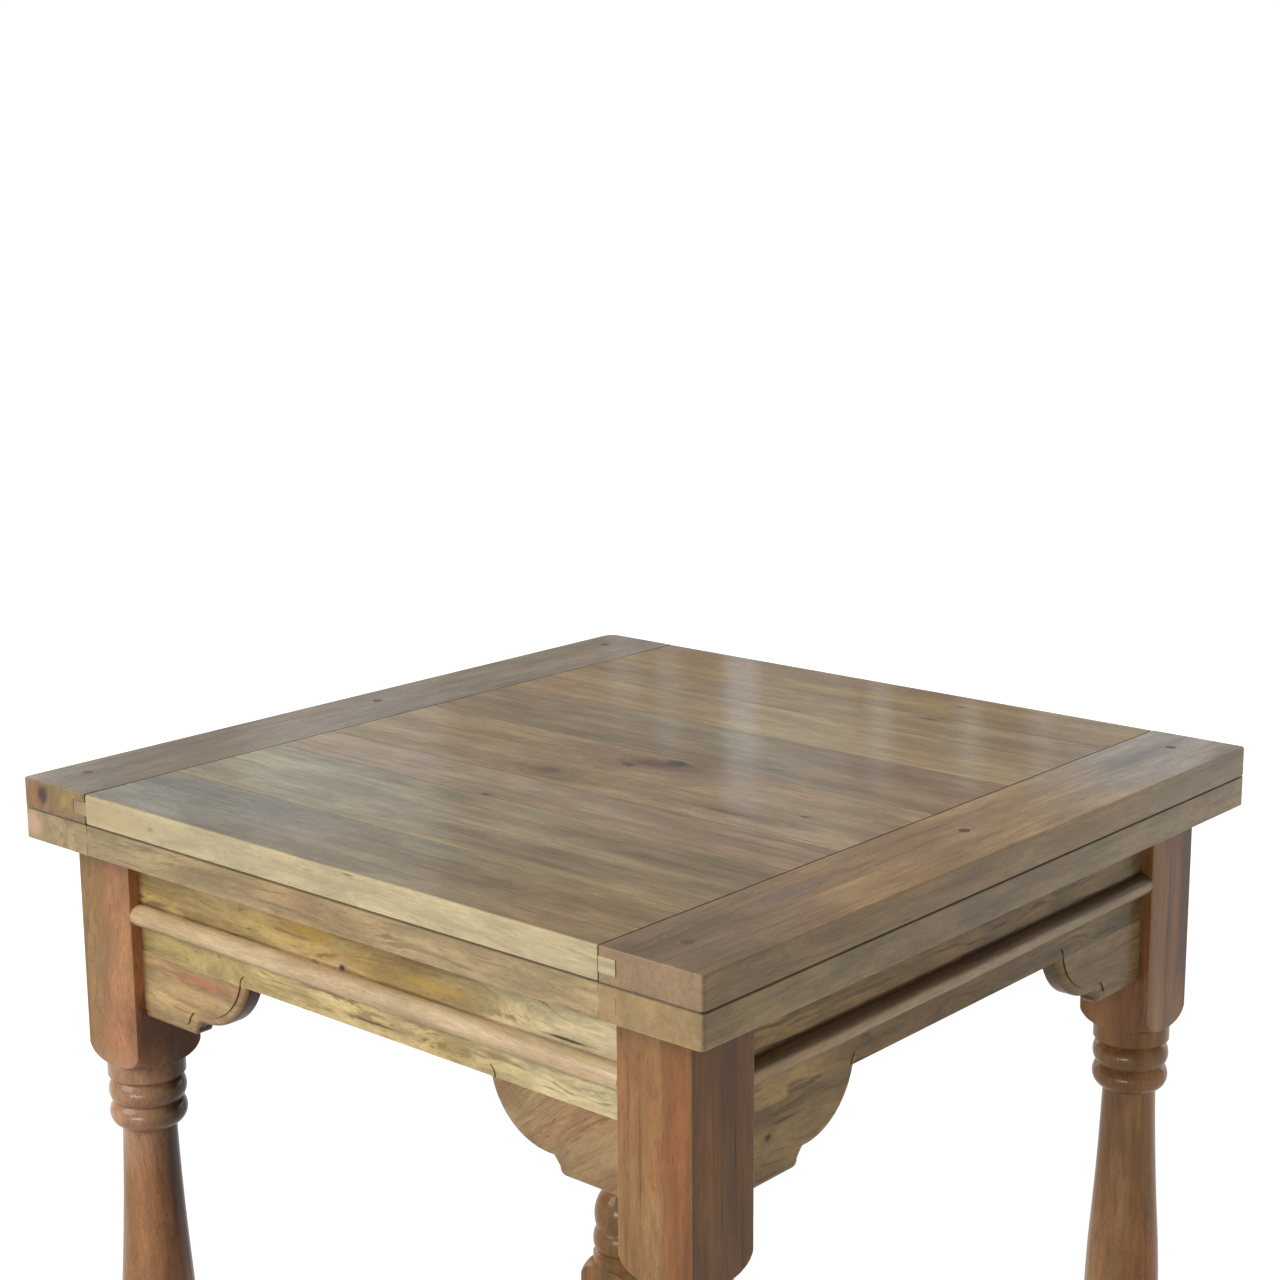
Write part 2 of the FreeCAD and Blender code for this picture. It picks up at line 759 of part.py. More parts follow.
def make_slider_screws():
    """Two screws up through each slider into the lower leaf."""
    seat = lower_bottom - s.slider_screw_seat
    low = seat - s.screw_head_height
    slot = s.screw_slot / 2
    wide = s.screw_head_radius + s.screw_slot
    length = s.screw_head_height + s.slider_screw_seat + s.screw_bite
    screws = []
    for side in ("front", "back"):
        for x, y in slider_screw_spots(side):
            screw = wood_screw("z", length, x, y, low)
            screws.append(slotted(screw, x - wide, x + wide, y - slot, y + slot, low, low + s.screw_slot))
    group("slider_screws", screws)


def make_glides():
    """Felt strips on top of the four aprons, which the leaves slide and rest on."""
    near, far = s.glide_edge, s.apron_thickness - s.glide_edge
    face_x = s.frame_half_length - s.apron_recess
    face_y = s.frame_half_width - s.apron_recess
    long_end, side_end = front_run - s.glide_edge, side_run - s.glide_edge
    strips = [
        block(-long_end, long_end, near - face_y, far - face_y, frame_top, glide_top),
        block(face_x - far, face_x - near, -side_end, side_end, frame_top, glide_top),
        block(-long_end, long_end, face_y - far, face_y - near, frame_top, glide_top),
        block(near - face_x, far - face_x, -side_end, side_end, frame_top, glide_top),
    ]
    group("glide_strips", strips)


def tongue_levels(bottom):
    """Lower and upper level of a leaf's tongues."""
    low = bottom + (s.leaf_thickness - s.tongue_thickness) / 2
    return low, low + s.tongue_thickness


def peg_spots(end):
    """Plan positions of the pegs of a leaf's left or right breadboard."""
    x = board_joint_left - s.peg_reach_left if end == "left" else board_joint_right + s.peg_reach_right
    return [(x, y) for y in peg_rows]


def make_plank(label, bottom, y0, y1, is_first, is_last, screw_spots=()):
    """One plank of a leaf: tongue and groove along its edges, tongues and tenons at its ends."""
    top = bottom + s.leaf_thickness
    low, high = tongue_levels(bottom)
    left, right = board_joint_left, board_joint_right
    groove = y0 + s.edge_tongue + s.tongue_play
    rows = [y for y in peg_rows if y0.value < y.value < y1.value]
    piece = Piece(label)
    piece.pad("z", bottom, top, rect(left, right, y0, y1))
    piece.pad("z", low, high, rect(left - s.end_tongue, right + s.end_tongue, y0 if is_first else groove, y1))
    for y in rows:
        sides = (y - s.board_tenon_half, y + s.board_tenon_half)
        piece.pad("z", low, high, rect(left - s.board_tenon, right + s.board_tenon, *sides))
        pegs = [spot for end in ("left", "right") for spot in peg_spots(end) if spot[1] is y]
        piece.cut("z", low, high, *(circle(*spot, s.peg_radius + s.peg_play) for spot in pegs))
    if not is_last:
        piece.pad("z", low, high, rect(left, right, y1, y1 + s.edge_tongue))
    if not is_first:
        piece.cut("z", low, high, rect(left, right, y0, groove))
    if screw_spots:
        hole = s.screw_radius + s.screw_play
        deep = bottom + s.screw_bite + s.screw_play
        piece.cut("z", bottom, deep, *(circle(x, y, hole) for x, y in screw_spots))


def make_planks(leaf, bottom):
    """All planks of a leaf, from the front edge to the back."""
    joints = [getattr(s, name) for name in SIZES if name.startswith(f"{leaf}_joint_")]
    edges = [-half_top, *joints, half_top]
    count = len(joints) + 1
    for index in range(count):
        screws = ()
        if leaf == "lower" and index == 0:
            screws = slider_screw_spots("front")
        if leaf == "lower" and index == count - 1:
            screws = slider_screw_spots("back")
        first, last = index == 0, index == count - 1
        make_plank(f"{leaf}_plank_{index + 1}", bottom, edges[index], edges[index + 1], first, last, screws)


def hinge_screw_spots(y):
    """Plan positions of the three screws in a hinge plate centred on y."""
    near, far = fold_line + s.hinge_screw_near, fold_line + s.hinge_screw_far
    side = s.hinge_screw_side
    return [(near, y - side), (near, y + side), (far, y)]


def make_breadboard(leaf, end, bottom, hinge_face):
    """An end board across a leaf's planks: a groove and mortises for them, pegs, and any hinge recesses.

    hinge_face is 1 where hinges are let into its top, -1 where they are let into its underside, else 0.
    """
    top = bottom + s.leaf_thickness
    low, high = tongue_levels(bottom)
    out = -1 if end == "left" else 1
    joint = board_joint_left if end == "left" else board_joint_right
    edge = half_top * out
    groove_end = joint + (s.end_tongue + s.tongue_play) * out
    mortise_end = joint + (s.board_tenon + s.tenon_play) * out
    piece = Piece(f"{leaf}_breadboard_{end}")
    piece.pad("z", bottom, top, rect(edge, joint, -half_top, half_top))
    for way in (-1, 1):
        corner = FreeCAD.Vector(edge.value, half_top.value * way, bottom.value + s.leaf_thickness.value / 2)
        size = s.worn_corner_round if end == "left" and way > 0 else s.corner_round
        piece.soften("PartDesign::Fillet", "Radius", size, lambda middle, at=corner: middle.isEqual(at, NEAR))
    piece.cut("z", low, high, rect(joint, groove_end, -half_top, half_top))
    for y in peg_rows:
        reach = s.board_tenon_half + s.tenon_play
        piece.cut("z", low, high, rect(joint, mortise_end, y - reach, y + reach))
    piece.cut("z", bottom, top, *(circle(x, y, s.peg_radius + s.peg_play) for x, y in peg_spots(end)))
    if hinge_face:
        cut_hinge_recesses(piece, top if hinge_face > 0 else bottom, hinge_face)


def cut_hinge_recesses(piece, face, way):
    """Let four hinges into a board's face: a shallow seat, a notch for the knuckles and screw holes."""
    seat = s.hinge_plate + s.running_play
    notch = s.knuckle_radius + s.notch_play
    notch_line = fold_line + notch
    plate_end = fold_line + s.hinge_reach + s.recess_play
    pilot = s.hinge_screw_length + s.screw_play
    outside = fold_line - notch
    hole = s.hinge_screw_radius + s.screw_play

    def cut(depth, *shapes):
        levels = (face - depth, face) if way > 0 else (face, face + depth)
        piece.cut("z", *levels, *shapes)

    for y in hinge_rows:
        half = s.hinge_width / 2 + s.recess_play
        cut(seat, rect(outside, plate_end, y - half, y + half))
        cut(notch, rect(outside, notch_line, y - half, y + half))
        cut(pilot, *(circle(x, v, hole) for x, v in hinge_screw_spots(y)))


def knuckle_spans(y, which):
    """Start and end of the knuckles of one hinge half: the odd ones below, the even ones above."""
    pitch = s.hinge_width / KNUCKLES
    wanted = range(0, KNUCKLES, 2) if which == "lower" else range(1, KNUCKLES, 2)
    start = y - s.hinge_width / 2
    gap = s.knuckle_gap / 2
    return [(start + pitch * index + gap, start + pitch * (index + 1) - gap) for index in wanted]


def make_hinge_half(which, y):
    """One half of a brass hinge: plate, tabs and knuckles, bored for the pin and countersunk for screws."""
    reach = s.knuckle_radius + s.notch_play
    half = s.hinge_width / 2
    way = -1 if which == "lower" else 1
    face = lower_top if which == "lower" else upper_bottom
    low, high = (face - s.hinge_plate, face) if which == "lower" else (face, face + s.hinge_plate)
    solids = [block(fold_line + reach, fold_line + s.hinge_reach, y - half, y + half, low, high)]
    for y0, y1 in knuckle_spans(y, which):
        solids.append(block(fold_line, fold_line + reach, y0, y1, low, high))
        solids.append(rod("y", y1 - y0, s.knuckle_radius, fold_line, y0, fold_height))
    bore = rod("y", s.hinge_width, s.pin_radius + s.running_play, fold_line, y - half, fold_height)
    tools = [bore]
    for x, v in hinge_screw_spots(y):
        axis = "-z" if way < 0 else "z"
        head, hole = s.hinge_screw_head + s.screw_play, s.hinge_screw_radius + s.screw_play
        tools.append(cone(axis, s.hinge_plate, head, hole, x, v, face))
    return without(fused(*solids), *tools)


def hinge_screw(which, x, y):
    """A countersunk brass screw, flush with its hinge plate."""
    face = lower_top if which == "lower" else upper_bottom
    axis = "-z" if which == "lower" else "z"
    head = cone(axis, s.hinge_plate, s.hinge_screw_head, s.hinge_screw_radius, x, y, face)
    shank = rod(axis, s.hinge_screw_length, s.hinge_screw_radius, x, y, face)
    return fused(head, shank)


def make_hinges():
    """Four hinges along the fold line: halves in each leaf, pins and screws."""
    for which in ("lower", "upper"):
        group(f"{which}_hinge_plates", [make_hinge_half(which, y) for y in hinge_rows])
        screws = [hinge_screw(which, *spot) for y in hinge_rows for spot in hinge_screw_spots(y)]
        group(f"{which}_hinge_screws", screws)
    half = s.hinge_width / 2
    pins = [rod("y", s.hinge_width, s.pin_radius, fold_line, y - half, fold_height) for y in hinge_rows]
    group("hinge_pins", pins)


def make_pegs(leaf, bottom):
    """Round pegs through a leaf's breadboards and tenons, flush with both faces."""
    spots = [spot for end in ("left", "right") for spot in peg_spots(end)]
    group(f"{leaf}_pegs", [rod("z", s.leaf_thickness, s.peg_radius, x, y, bottom) for x, y in spots])


def make_frame():
    """Legs, aprons, beads, brackets and corner blocks."""
    for corner, (out_x, out_y, turn) in CORNERS.items():
        make_leg(corner, leg_x * out_x, leg_y * out_y, turn)
        make_corner_block(corner, leg_x * out_x, leg_y * out_y, turn)
    make_corner_screws()
    for side, (run, x, y, turn) in SIDES.items():
        make_apron(side, run, x, y, turn)
        make_bead(side, run, x, y, turn)
        for hand, name in ((-1, "a"), (1, "b")):
            make_bracket(side, run, x, y, turn, hand, name)


def make_slide():
    """Guide rails, sliders, their screws and the felt strips."""
    for side, hand in (("front", 1), ("back", -1)):
        run, x, y, turn = SIDES[side]
        make_guide_rail(side, run, x, y, turn)
        make_slider(side, x, y, turn, hand)
    make_rail_screws()
    make_slider_screws()
    make_glides()


def make_leaves():
    """The lower and the upper leaf, with pegs and hinges."""
    for leaf, bottom, hinge_face in (("lower", lower_bottom, 1), ("upper", upper_bottom, -1)):
        make_planks(leaf, bottom)
        make_breadboard(leaf, "left", bottom, hinge_face)
        make_breadboard(leaf, "right", bottom, 0)
        make_pegs(leaf, bottom)
    make_hinges()


def check_document():
    """Stop if any object failed to build or any piece has no sound solid."""
    failed = [item.Label for item in doc.Objects if {"Invalid", "Error"} & set(item.State)]
    if failed:
        raise RuntimeError(f"failed objects: {failed}")
    for part in parts:
        if part.Shape.isNull() or not part.Shape.isValid() or not part.Shape.Solids:
            raise RuntimeError(f"{part.Label} has no sound solid")


def write_parts():
    """Write every piece to its own file."""
    os.makedirs("parts", exist_ok=True)
    for part in parts:
        part.Shape.exportStep(f"parts/{part.Label}.step")
    print(f"{len(parts)} pieces")


make_frame()
make_slide()
make_leaves()
doc.recompute()
check_document()
write_parts()
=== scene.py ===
"""Dressed look of a butterfly table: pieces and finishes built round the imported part, in metres."""

import json
import logging
import math
from collections.abc import Sequence
from dataclasses import dataclass, replace
from enum import Enum

import bmesh
import bpy
import numpy as np
from mathutils import Euler, Matrix, Vector

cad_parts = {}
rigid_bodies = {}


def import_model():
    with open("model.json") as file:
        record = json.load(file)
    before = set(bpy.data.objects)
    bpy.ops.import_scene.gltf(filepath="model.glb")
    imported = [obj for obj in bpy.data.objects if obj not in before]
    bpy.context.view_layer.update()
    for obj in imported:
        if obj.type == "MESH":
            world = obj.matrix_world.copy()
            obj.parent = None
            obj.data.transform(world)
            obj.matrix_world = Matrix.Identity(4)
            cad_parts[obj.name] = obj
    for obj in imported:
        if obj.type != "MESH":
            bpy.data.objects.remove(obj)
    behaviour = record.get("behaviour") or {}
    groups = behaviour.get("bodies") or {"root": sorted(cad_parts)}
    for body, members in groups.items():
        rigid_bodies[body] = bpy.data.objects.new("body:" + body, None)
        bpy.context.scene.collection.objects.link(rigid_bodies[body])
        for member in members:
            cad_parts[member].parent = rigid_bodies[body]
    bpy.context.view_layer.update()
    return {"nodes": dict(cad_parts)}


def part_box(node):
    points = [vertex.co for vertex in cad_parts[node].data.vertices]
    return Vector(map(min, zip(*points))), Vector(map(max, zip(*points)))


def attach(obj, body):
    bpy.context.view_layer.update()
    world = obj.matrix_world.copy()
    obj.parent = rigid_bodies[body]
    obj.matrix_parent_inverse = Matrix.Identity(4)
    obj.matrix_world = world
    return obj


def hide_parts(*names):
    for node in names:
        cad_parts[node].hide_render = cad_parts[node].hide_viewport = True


log = logging.getLogger("butterfly_table")

MM = 0.001
QUARTER = math.pi / 2
WELD = 1e-7
WHITE = (1.0, 1.0, 1.0, 1.0)
LUMINANCE = (0.21, 0.72, 0.07)
# Width of the paler band along the arrises: the finish rubbed thin and, on the legs, a painted highlight.
WEAR_AND_HIGHLIGHT_WIDTH = 1.6 * MM
COAT_ROUGHNESS = 0.11
HALO_TINT = 0.6

Array = np.ndarray
Colour = tuple[int, int, int]
Point = tuple[float, float, float]
Tone = tuple[float, float, float, float]
Box = tuple[Point, Point]
Material = bpy.types.Material
Piece = bpy.types.Object
Socket = bpy.types.NodeSocket
Tree = bpy.types.NodeTree


# Surfaces


@dataclass
class Shell:
    """Corners, as rows of x, y, z, and faces, as corner numbers, of one or more closed surfaces."""

    points: Array
    faces: list[list[int]]

    @staticmethod
    def joined(shells: Sequence["Shell"]) -> "Shell":
        """Put several shells into one, in order."""
        faces: list[list[int]] = []
        start = 0
        for shell in shells:
            faces += [[corner + start for corner in face] for face in shell.faces]
            start += len(shell.points)
        return Shell(np.concatenate([shell.points for shell in shells]), faces)


def grid(x: Array, y: Array, z: Array) -> Array:
    """Make points of coordinates that are spread to a common shape."""
    return np.stack(np.broadcast_arrays(x, y, z), axis=-1)


def tube(rings: Array) -> Shell:
    """A closed surface through rings of points, with one face over each end.

    Neighbouring points of a ring and the same two of the next ring make a quad.

    Args:
        rings: Points by ring, place in the ring and coordinate.

    Returns:
        The closed shell.
    """
    count, around = rings.shape[:2]
    row = np.arange(count - 1)[:, None] * around
    here = np.arange(around)
    after = (here + 1) % around
    quads = np.stack([row + here, row + after, row + around + after, row + around + here], axis=-1)
    faces = quads.reshape(-1, 4).tolist()
    faces.append(list(range(around))[::-1])
    faces.append(list(range((count - 1) * around, count * around)))
    return Shell(rings.reshape(-1, 3), faces)


def eased_block(low: Point, high: Point, front_ease: float, back_ease: float, steps: int = 3) -> Shell:
    """A block whose edges and corners are rounded over.

    A point is a corner of the block, drawn in by the ease, plus the ease times a direction of the
    sphere: p(turn, tilt) = corner + ease * (cos tilt cos turn, cos tilt sin turn, sin tilt). Each
    eighth of the sphere belongs to its own corner, so the flat faces lie between the eighths.

    Args:
        low: Lowest corner.
        high: Highest corner.
        front_ease: Radius at the corners with the lower y.
        back_ease: Radius at the corners with the higher y.
        steps: Faces across a rounded edge.

    Returns:
        The closed shell.
    """
    along = np.linspace(0.0, 1.0, steps + 1)
    turn = ((np.arange(4)[:, None] + along) * QUARTER)[None, None]
    tilt = ((np.arange(2)[:, None] - 1 + along) * QUARTER)[:, :, None, None]
    side_x = np.array([1, -1, -1, 1])[None, None, :, None]
    side_y = np.array([1, 1, -1, -1])[None, None, :, None]
    side_z = np.array([-1, 1])[:, None, None, None]
    ease = np.where(side_y > 0, back_ease, front_ease)
    middle = (np.array(low) + np.array(high)) / 2
    half = (np.array(high) - np.array(low)) / 2
    x = middle[0] + side_x * (half[0] - ease) + ease * np.cos(tilt) * np.cos(turn)
    y = middle[1] + side_y * (half[1] - ease) + ease * np.cos(tilt) * np.sin(turn)
    z = middle[2] + side_z * (half[2] - ease) + ease * np.sin(tilt) * np.ones_like(turn)
    return tube(grid(x, y, z).reshape(2 * (steps + 1), 4 * (steps + 1), 3))


def eased_outline(corners: Array, eases: Array, steps: int = 4) -> tuple[Array, Array]:
    """A square-cornered outline with its corners rounded, and the outward direction at each point.

    With unit steps a and b from a corner along its two sides, the arc of radius e is
    corner + e * (a + b - b cos t - a sin t) for t from 0 to a quarter turn.

    Args:
        corners: Outline corners in order, counterclockwise, one row of two coordinates each.
        eases: Radius at each corner.
        steps: Faces across a rounded corner.

    Returns:
        Points and outward directions, one row each.
    """
    before = np.roll(corners, 1, axis=0) - corners
    ahead = np.roll(corners, -1, axis=0) - corners
    before = (before / np.linalg.norm(before, axis=1, keepdims=True))[:, None]
    ahead = (ahead / np.linalg.norm(ahead, axis=1, keepdims=True))[:, None]
    turn = np.linspace(0.0, QUARTER, steps + 1)[None, :, None]
    spoke = ahead * np.cos(turn) + before * np.sin(turn)
    points = corners[:, None] + eases[:, None, None] * (before + ahead - spoke)
    inward = np.sign(before[..., 0] * ahead[..., 1] - before[..., 1] * ahead[..., 0])[..., None]
    return points.reshape(-1, 2), (spoke * inward).reshape(-1, 2)


def arc(start: tuple[float, float], end: tuple[float, float], bend: float, count: int) -> Array:
    """Points on an arc between two points, without the last one.

    The centre lies on the chord's middle line, to the left of the way for a positive bend, at the
    distance that makes the radius |bend|. A bend of 0 is a straight run.

    Args:
        start: First point.
        end: Last point.
        bend: Signed radius.
        count: Number of points.

    Returns:
        The points, one row each.
    """
    first, last = np.array(start), np.array(end)
    share = np.linspace(0.0, 1.0, count, endpoint=False)[:, None]
    chord = last - first
    if bend == 0:
        return first + chord * share
    length = np.linalg.norm(chord)
    left = np.array([-chord[1], chord[0]]) / length * math.copysign(1.0, bend)
    centre = (first + last) / 2 + left * math.sqrt(max(bend**2 - length**2 / 4, 0.0))
    angle = np.arctan2(*(first - centre)[::-1])
    sweep = np.arctan2(*(last - centre)[::-1]) - angle
    sweep = (sweep + math.pi) % (2 * math.pi) - math.pi
    angle = angle + sweep * share
    return centre + abs(bend) * np.concatenate([np.cos(angle), np.sin(angle)], axis=1)


def drawn_in(depth: Array, radius: Array | float) -> Array:
    """How far a quarter round lies behind its face at a depth from the end: r - sqrt(r^2 - (r - depth)^2)."""
    return radius - np.sqrt(np.maximum(radius**2 - np.maximum(radius - depth, 0.0) ** 2, 0.0))


def put_in(node: str, shell: Shell, body: str, crease: float = 38.0) -> Piece:
    """Put a shell into the scene as a smooth-shaded piece that stands for a CAD node.

    Args:
        node: The node that it replaces.
        shell: Its surface.
        body: The body that it moves with.
        crease: Edges sharper than this angle, in degrees, stay sharp.

    Returns:
        The new piece.
    """
    name = f"{node}_wood"
    mesh = bpy.data.meshes.new(name)
    mesh.from_pydata(shell.points.tolist(), [], shell.faces)
    work = bmesh.new()
    work.from_mesh(mesh)
    bmesh.ops.remove_doubles(work, verts=work.verts, dist=WELD)
    bmesh.ops.recalc_face_normals(work, faces=work.faces)
    work.to_mesh(mesh)
    work.free()
    mesh.shade_smooth()
    mesh.set_sharp_from_angle(angle=math.radians(crease))
    piece = bpy.data.objects.new(name, mesh)
    bpy.context.scene.collection.objects.link(piece)
    normals = piece.modifiers.new("flat_faces_first", "WEIGHTED_NORMAL")
    normals.keep_sharp = True
    normals.weight = 100
    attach(piece, body)
    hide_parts(node)
    log.info("piece %s: %d faces", piece.name, len(piece.data.polygons))
    return piece


# Shader building


def linear(colour: Colour) -> Tone:
    """Turn a colour of 0 to 255 per channel, as seen on a screen, into Blender's linear values."""
    part = np.array(colour, float) / 255
    value = np.where(part <= 0.04045, part / 12.92, ((part + 0.055) / 1.055) ** 2.4)
    return (*value.tolist(), 1.0)


class Value:
    """An output in a shader graph; sums on it add Math nodes."""

    def __init__(self, graph: "Graph", socket: Socket) -> None:
        """Wrap one output."""
        self.graph, self.socket = graph, socket

    def __add__(self, other: "Value | float") -> "Value":
        """Add a value."""
        return self.graph.math("ADD", self, other)

    def __sub__(self, other: "Value | float") -> "Value":
        """Take a value off."""
        return self.graph.math("SUBTRACT", self, other)

    def __rsub__(self, other: float) -> "Value":
        """Take it off a number."""
        return self.graph.math("SUBTRACT", other, self)

    def __mul__(self, other: "Value | float") -> "Value":
        """Multiply by a value."""
        return self.graph.math("MULTIPLY", self, other)


class Graph:
    """Adds nodes to a node tree and joins them."""

    def __init__(self, tree: Tree) -> None:
        """Work on one tree."""
        self.tree = tree

    def add(self, kind: str, **settings: object) -> bpy.types.Node:
        """Add a node and set its properties."""
        node = self.tree.nodes.new(kind)
        for name, value in settings.items():
            setattr(node, name, value)
        return node

    def outputs(self, node: bpy.types.Node) -> dict[str, Value]:
        """Give a node's outputs by name."""
        return {socket.name: Value(self, socket) for socket in node.outputs}

    def put(self, socket: Socket, value: object) -> None:
        """Link a socket to an output, or set its value."""
        if isinstance(value, Value):
            self.tree.links.new(value.socket, socket)
        else:
            socket.default_value = value

    def put_all(self, node: bpy.types.Node, values: dict[str, object]) -> None:
        """Link or set a node's inputs, named with _ for spaces."""
        for name, value in values.items():
            self.put(node.inputs[name.replace("_", " ")], value)

    def fill(self, kind: str, values: Sequence[object], output: int | str = 0, **settings: object) -> Value:
        """Add a node, link or set its first inputs in order, and give one output."""
        node = self.add(kind, **settings)
        for socket, value in zip(node.inputs, values):
            self.put(socket, value)
        return Value(self, node.outputs[output])

    def math(self, operation: str, *values: object) -> Value:
        """Combine values with a Math node."""
        return self.fill("ShaderNodeMath", values, operation=operation)

    def vector(self, operation: str, *values: object) -> Value:
        """Combine vectors with a Vector Math node and give the output that the operation uses."""
        output = "Value" if operation in ("LENGTH", "DOT_PRODUCT") else "Vector"
        return self.fill("ShaderNodeVectorMath", values, output, operation=operation)

    def split(self, vector: Value) -> list[Value]:
        """Give the x, y and z of a vector."""
        node = self.add("ShaderNodeSeparateXYZ")
        self.put(node.inputs[0], vector)
        return list(self.outputs(node).values())

    def merge(self, *parts: object) -> Value:
        """Make a vector of x, y and z."""
        return self.fill("ShaderNodeCombineXYZ", parts)

    def noise(self, vector: Value, stretch: Point, detail: float = 2.0, rough: float = 0.5) -> Value:
        """Noise of 0 to 1 whose grains per metre along x, y and z are given by stretch."""
        node = self.add("ShaderNodeTexNoise")
        place = self.vector("MULTIPLY", vector, stretch)
        self.put_all(node, {"Vector": place, "Scale": 1.0, "Detail": detail, "Roughness": rough})
        return Value(self, node.outputs[0])

    def rise(self, value: Value, start: object, end: float, low: float = 0.0, high: float = 1.0) -> Value:
        """A smooth step from low to high as the value goes from start to end."""
        return self.fill("ShaderNodeMapRange", (value, start, end, low, high), interpolation_type="SMOOTHSTEP")

    def mix(self, share: object, first: object, second: object, blend: str = "MIX") -> Value:
        """Blend two colours."""
        node = self.add("ShaderNodeMix", data_type="RGBA", blend_type=blend)
        for index, value in ((0, share), (6, first), (7, second)):
            self.put(node.inputs[index], value)
        return Value(self, node.outputs[2])

    def ramp(self, value: Value, stops: Sequence[tuple[float, Colour]]) -> Value:
        """A colour ramp through the given stops."""
        node = self.add("ShaderNodeValToRGB")
        elements = node.color_ramp.elements
        while len(elements) < len(stops):
            elements.new(0.5)
        for element, (place, colour) in zip(elements, stops):
            element.position = place
            element.color = linear(colour)
        self.put(node.inputs[0], value)
        return Value(self, node.outputs[0])

    def use(self, group: Tree, **values: object) -> dict[str, Value]:
        """Place a node group, link or set its inputs, and give its outputs."""
        node = self.add("ShaderNodeGroup", node_tree=group)
        self.put_all(node, values)
        return self.outputs(node)


class Finish(Graph):
    """The graph of a new material, with its shader and its Object coordinates."""

    def __init__(self, name: str) -> None:
        """Start a material."""
        self.material = bpy.data.materials.new(name)
        self.material.use_nodes = True
        super().__init__(self.material.node_tree)
        self.shader = self.tree.nodes["Principled BSDF"]
        self.position = self.outputs(self.add("ShaderNodeTexCoord"))["Object"]

    def shade(self, **values: object) -> None:
        """Link or set inputs of the shader, named with _ for spaces."""
        self.put_all(self.shader, values)

    def relief(self, height: Value, strength: float, depth: float) -> None:
        """Bend the shader's normal by a height."""
        bump = self.add("ShaderNodeBump")
        self.put_all(bump, {"Strength": strength, "Distance": depth, "Height": height})
        self.shade(Normal=self.outputs(bump)["Normal"])


class Kind(Enum):
    """Kinds of sockets on a node group."""

    VALUE = "NodeSocketFloat"
    VECTOR = "NodeSocketVector"


class Effect(Graph):
    """A node group in the making."""

    def __init__(self, name: str, **inputs: Kind) -> None:
        """Start a group with the given inputs, named with _ for spaces."""
        super().__init__(bpy.data.node_groups.new(name, "ShaderNodeTree"))
        for label, kind in inputs.items():
            self.tree.interface.new_socket(name=label.replace("_", " "), in_out="INPUT", socket_type=kind.value)
        node = self.add("NodeGroupInput")
        self.inputs = [Value(self, socket) for socket, _ in zip(node.outputs, inputs)]

    def finished(self, **outputs: Value) -> Tree:
        """Add the outputs and give the group."""
        for label, value in outputs.items():
            kind = Kind.VECTOR if value.socket.type == "VECTOR" else Kind.VALUE
            self.tree.interface.new_socket(name=label, in_out="OUTPUT", socket_type=kind.value)
        self.put_all(self.add("NodeGroupOutput"), outputs)
        return self.tree


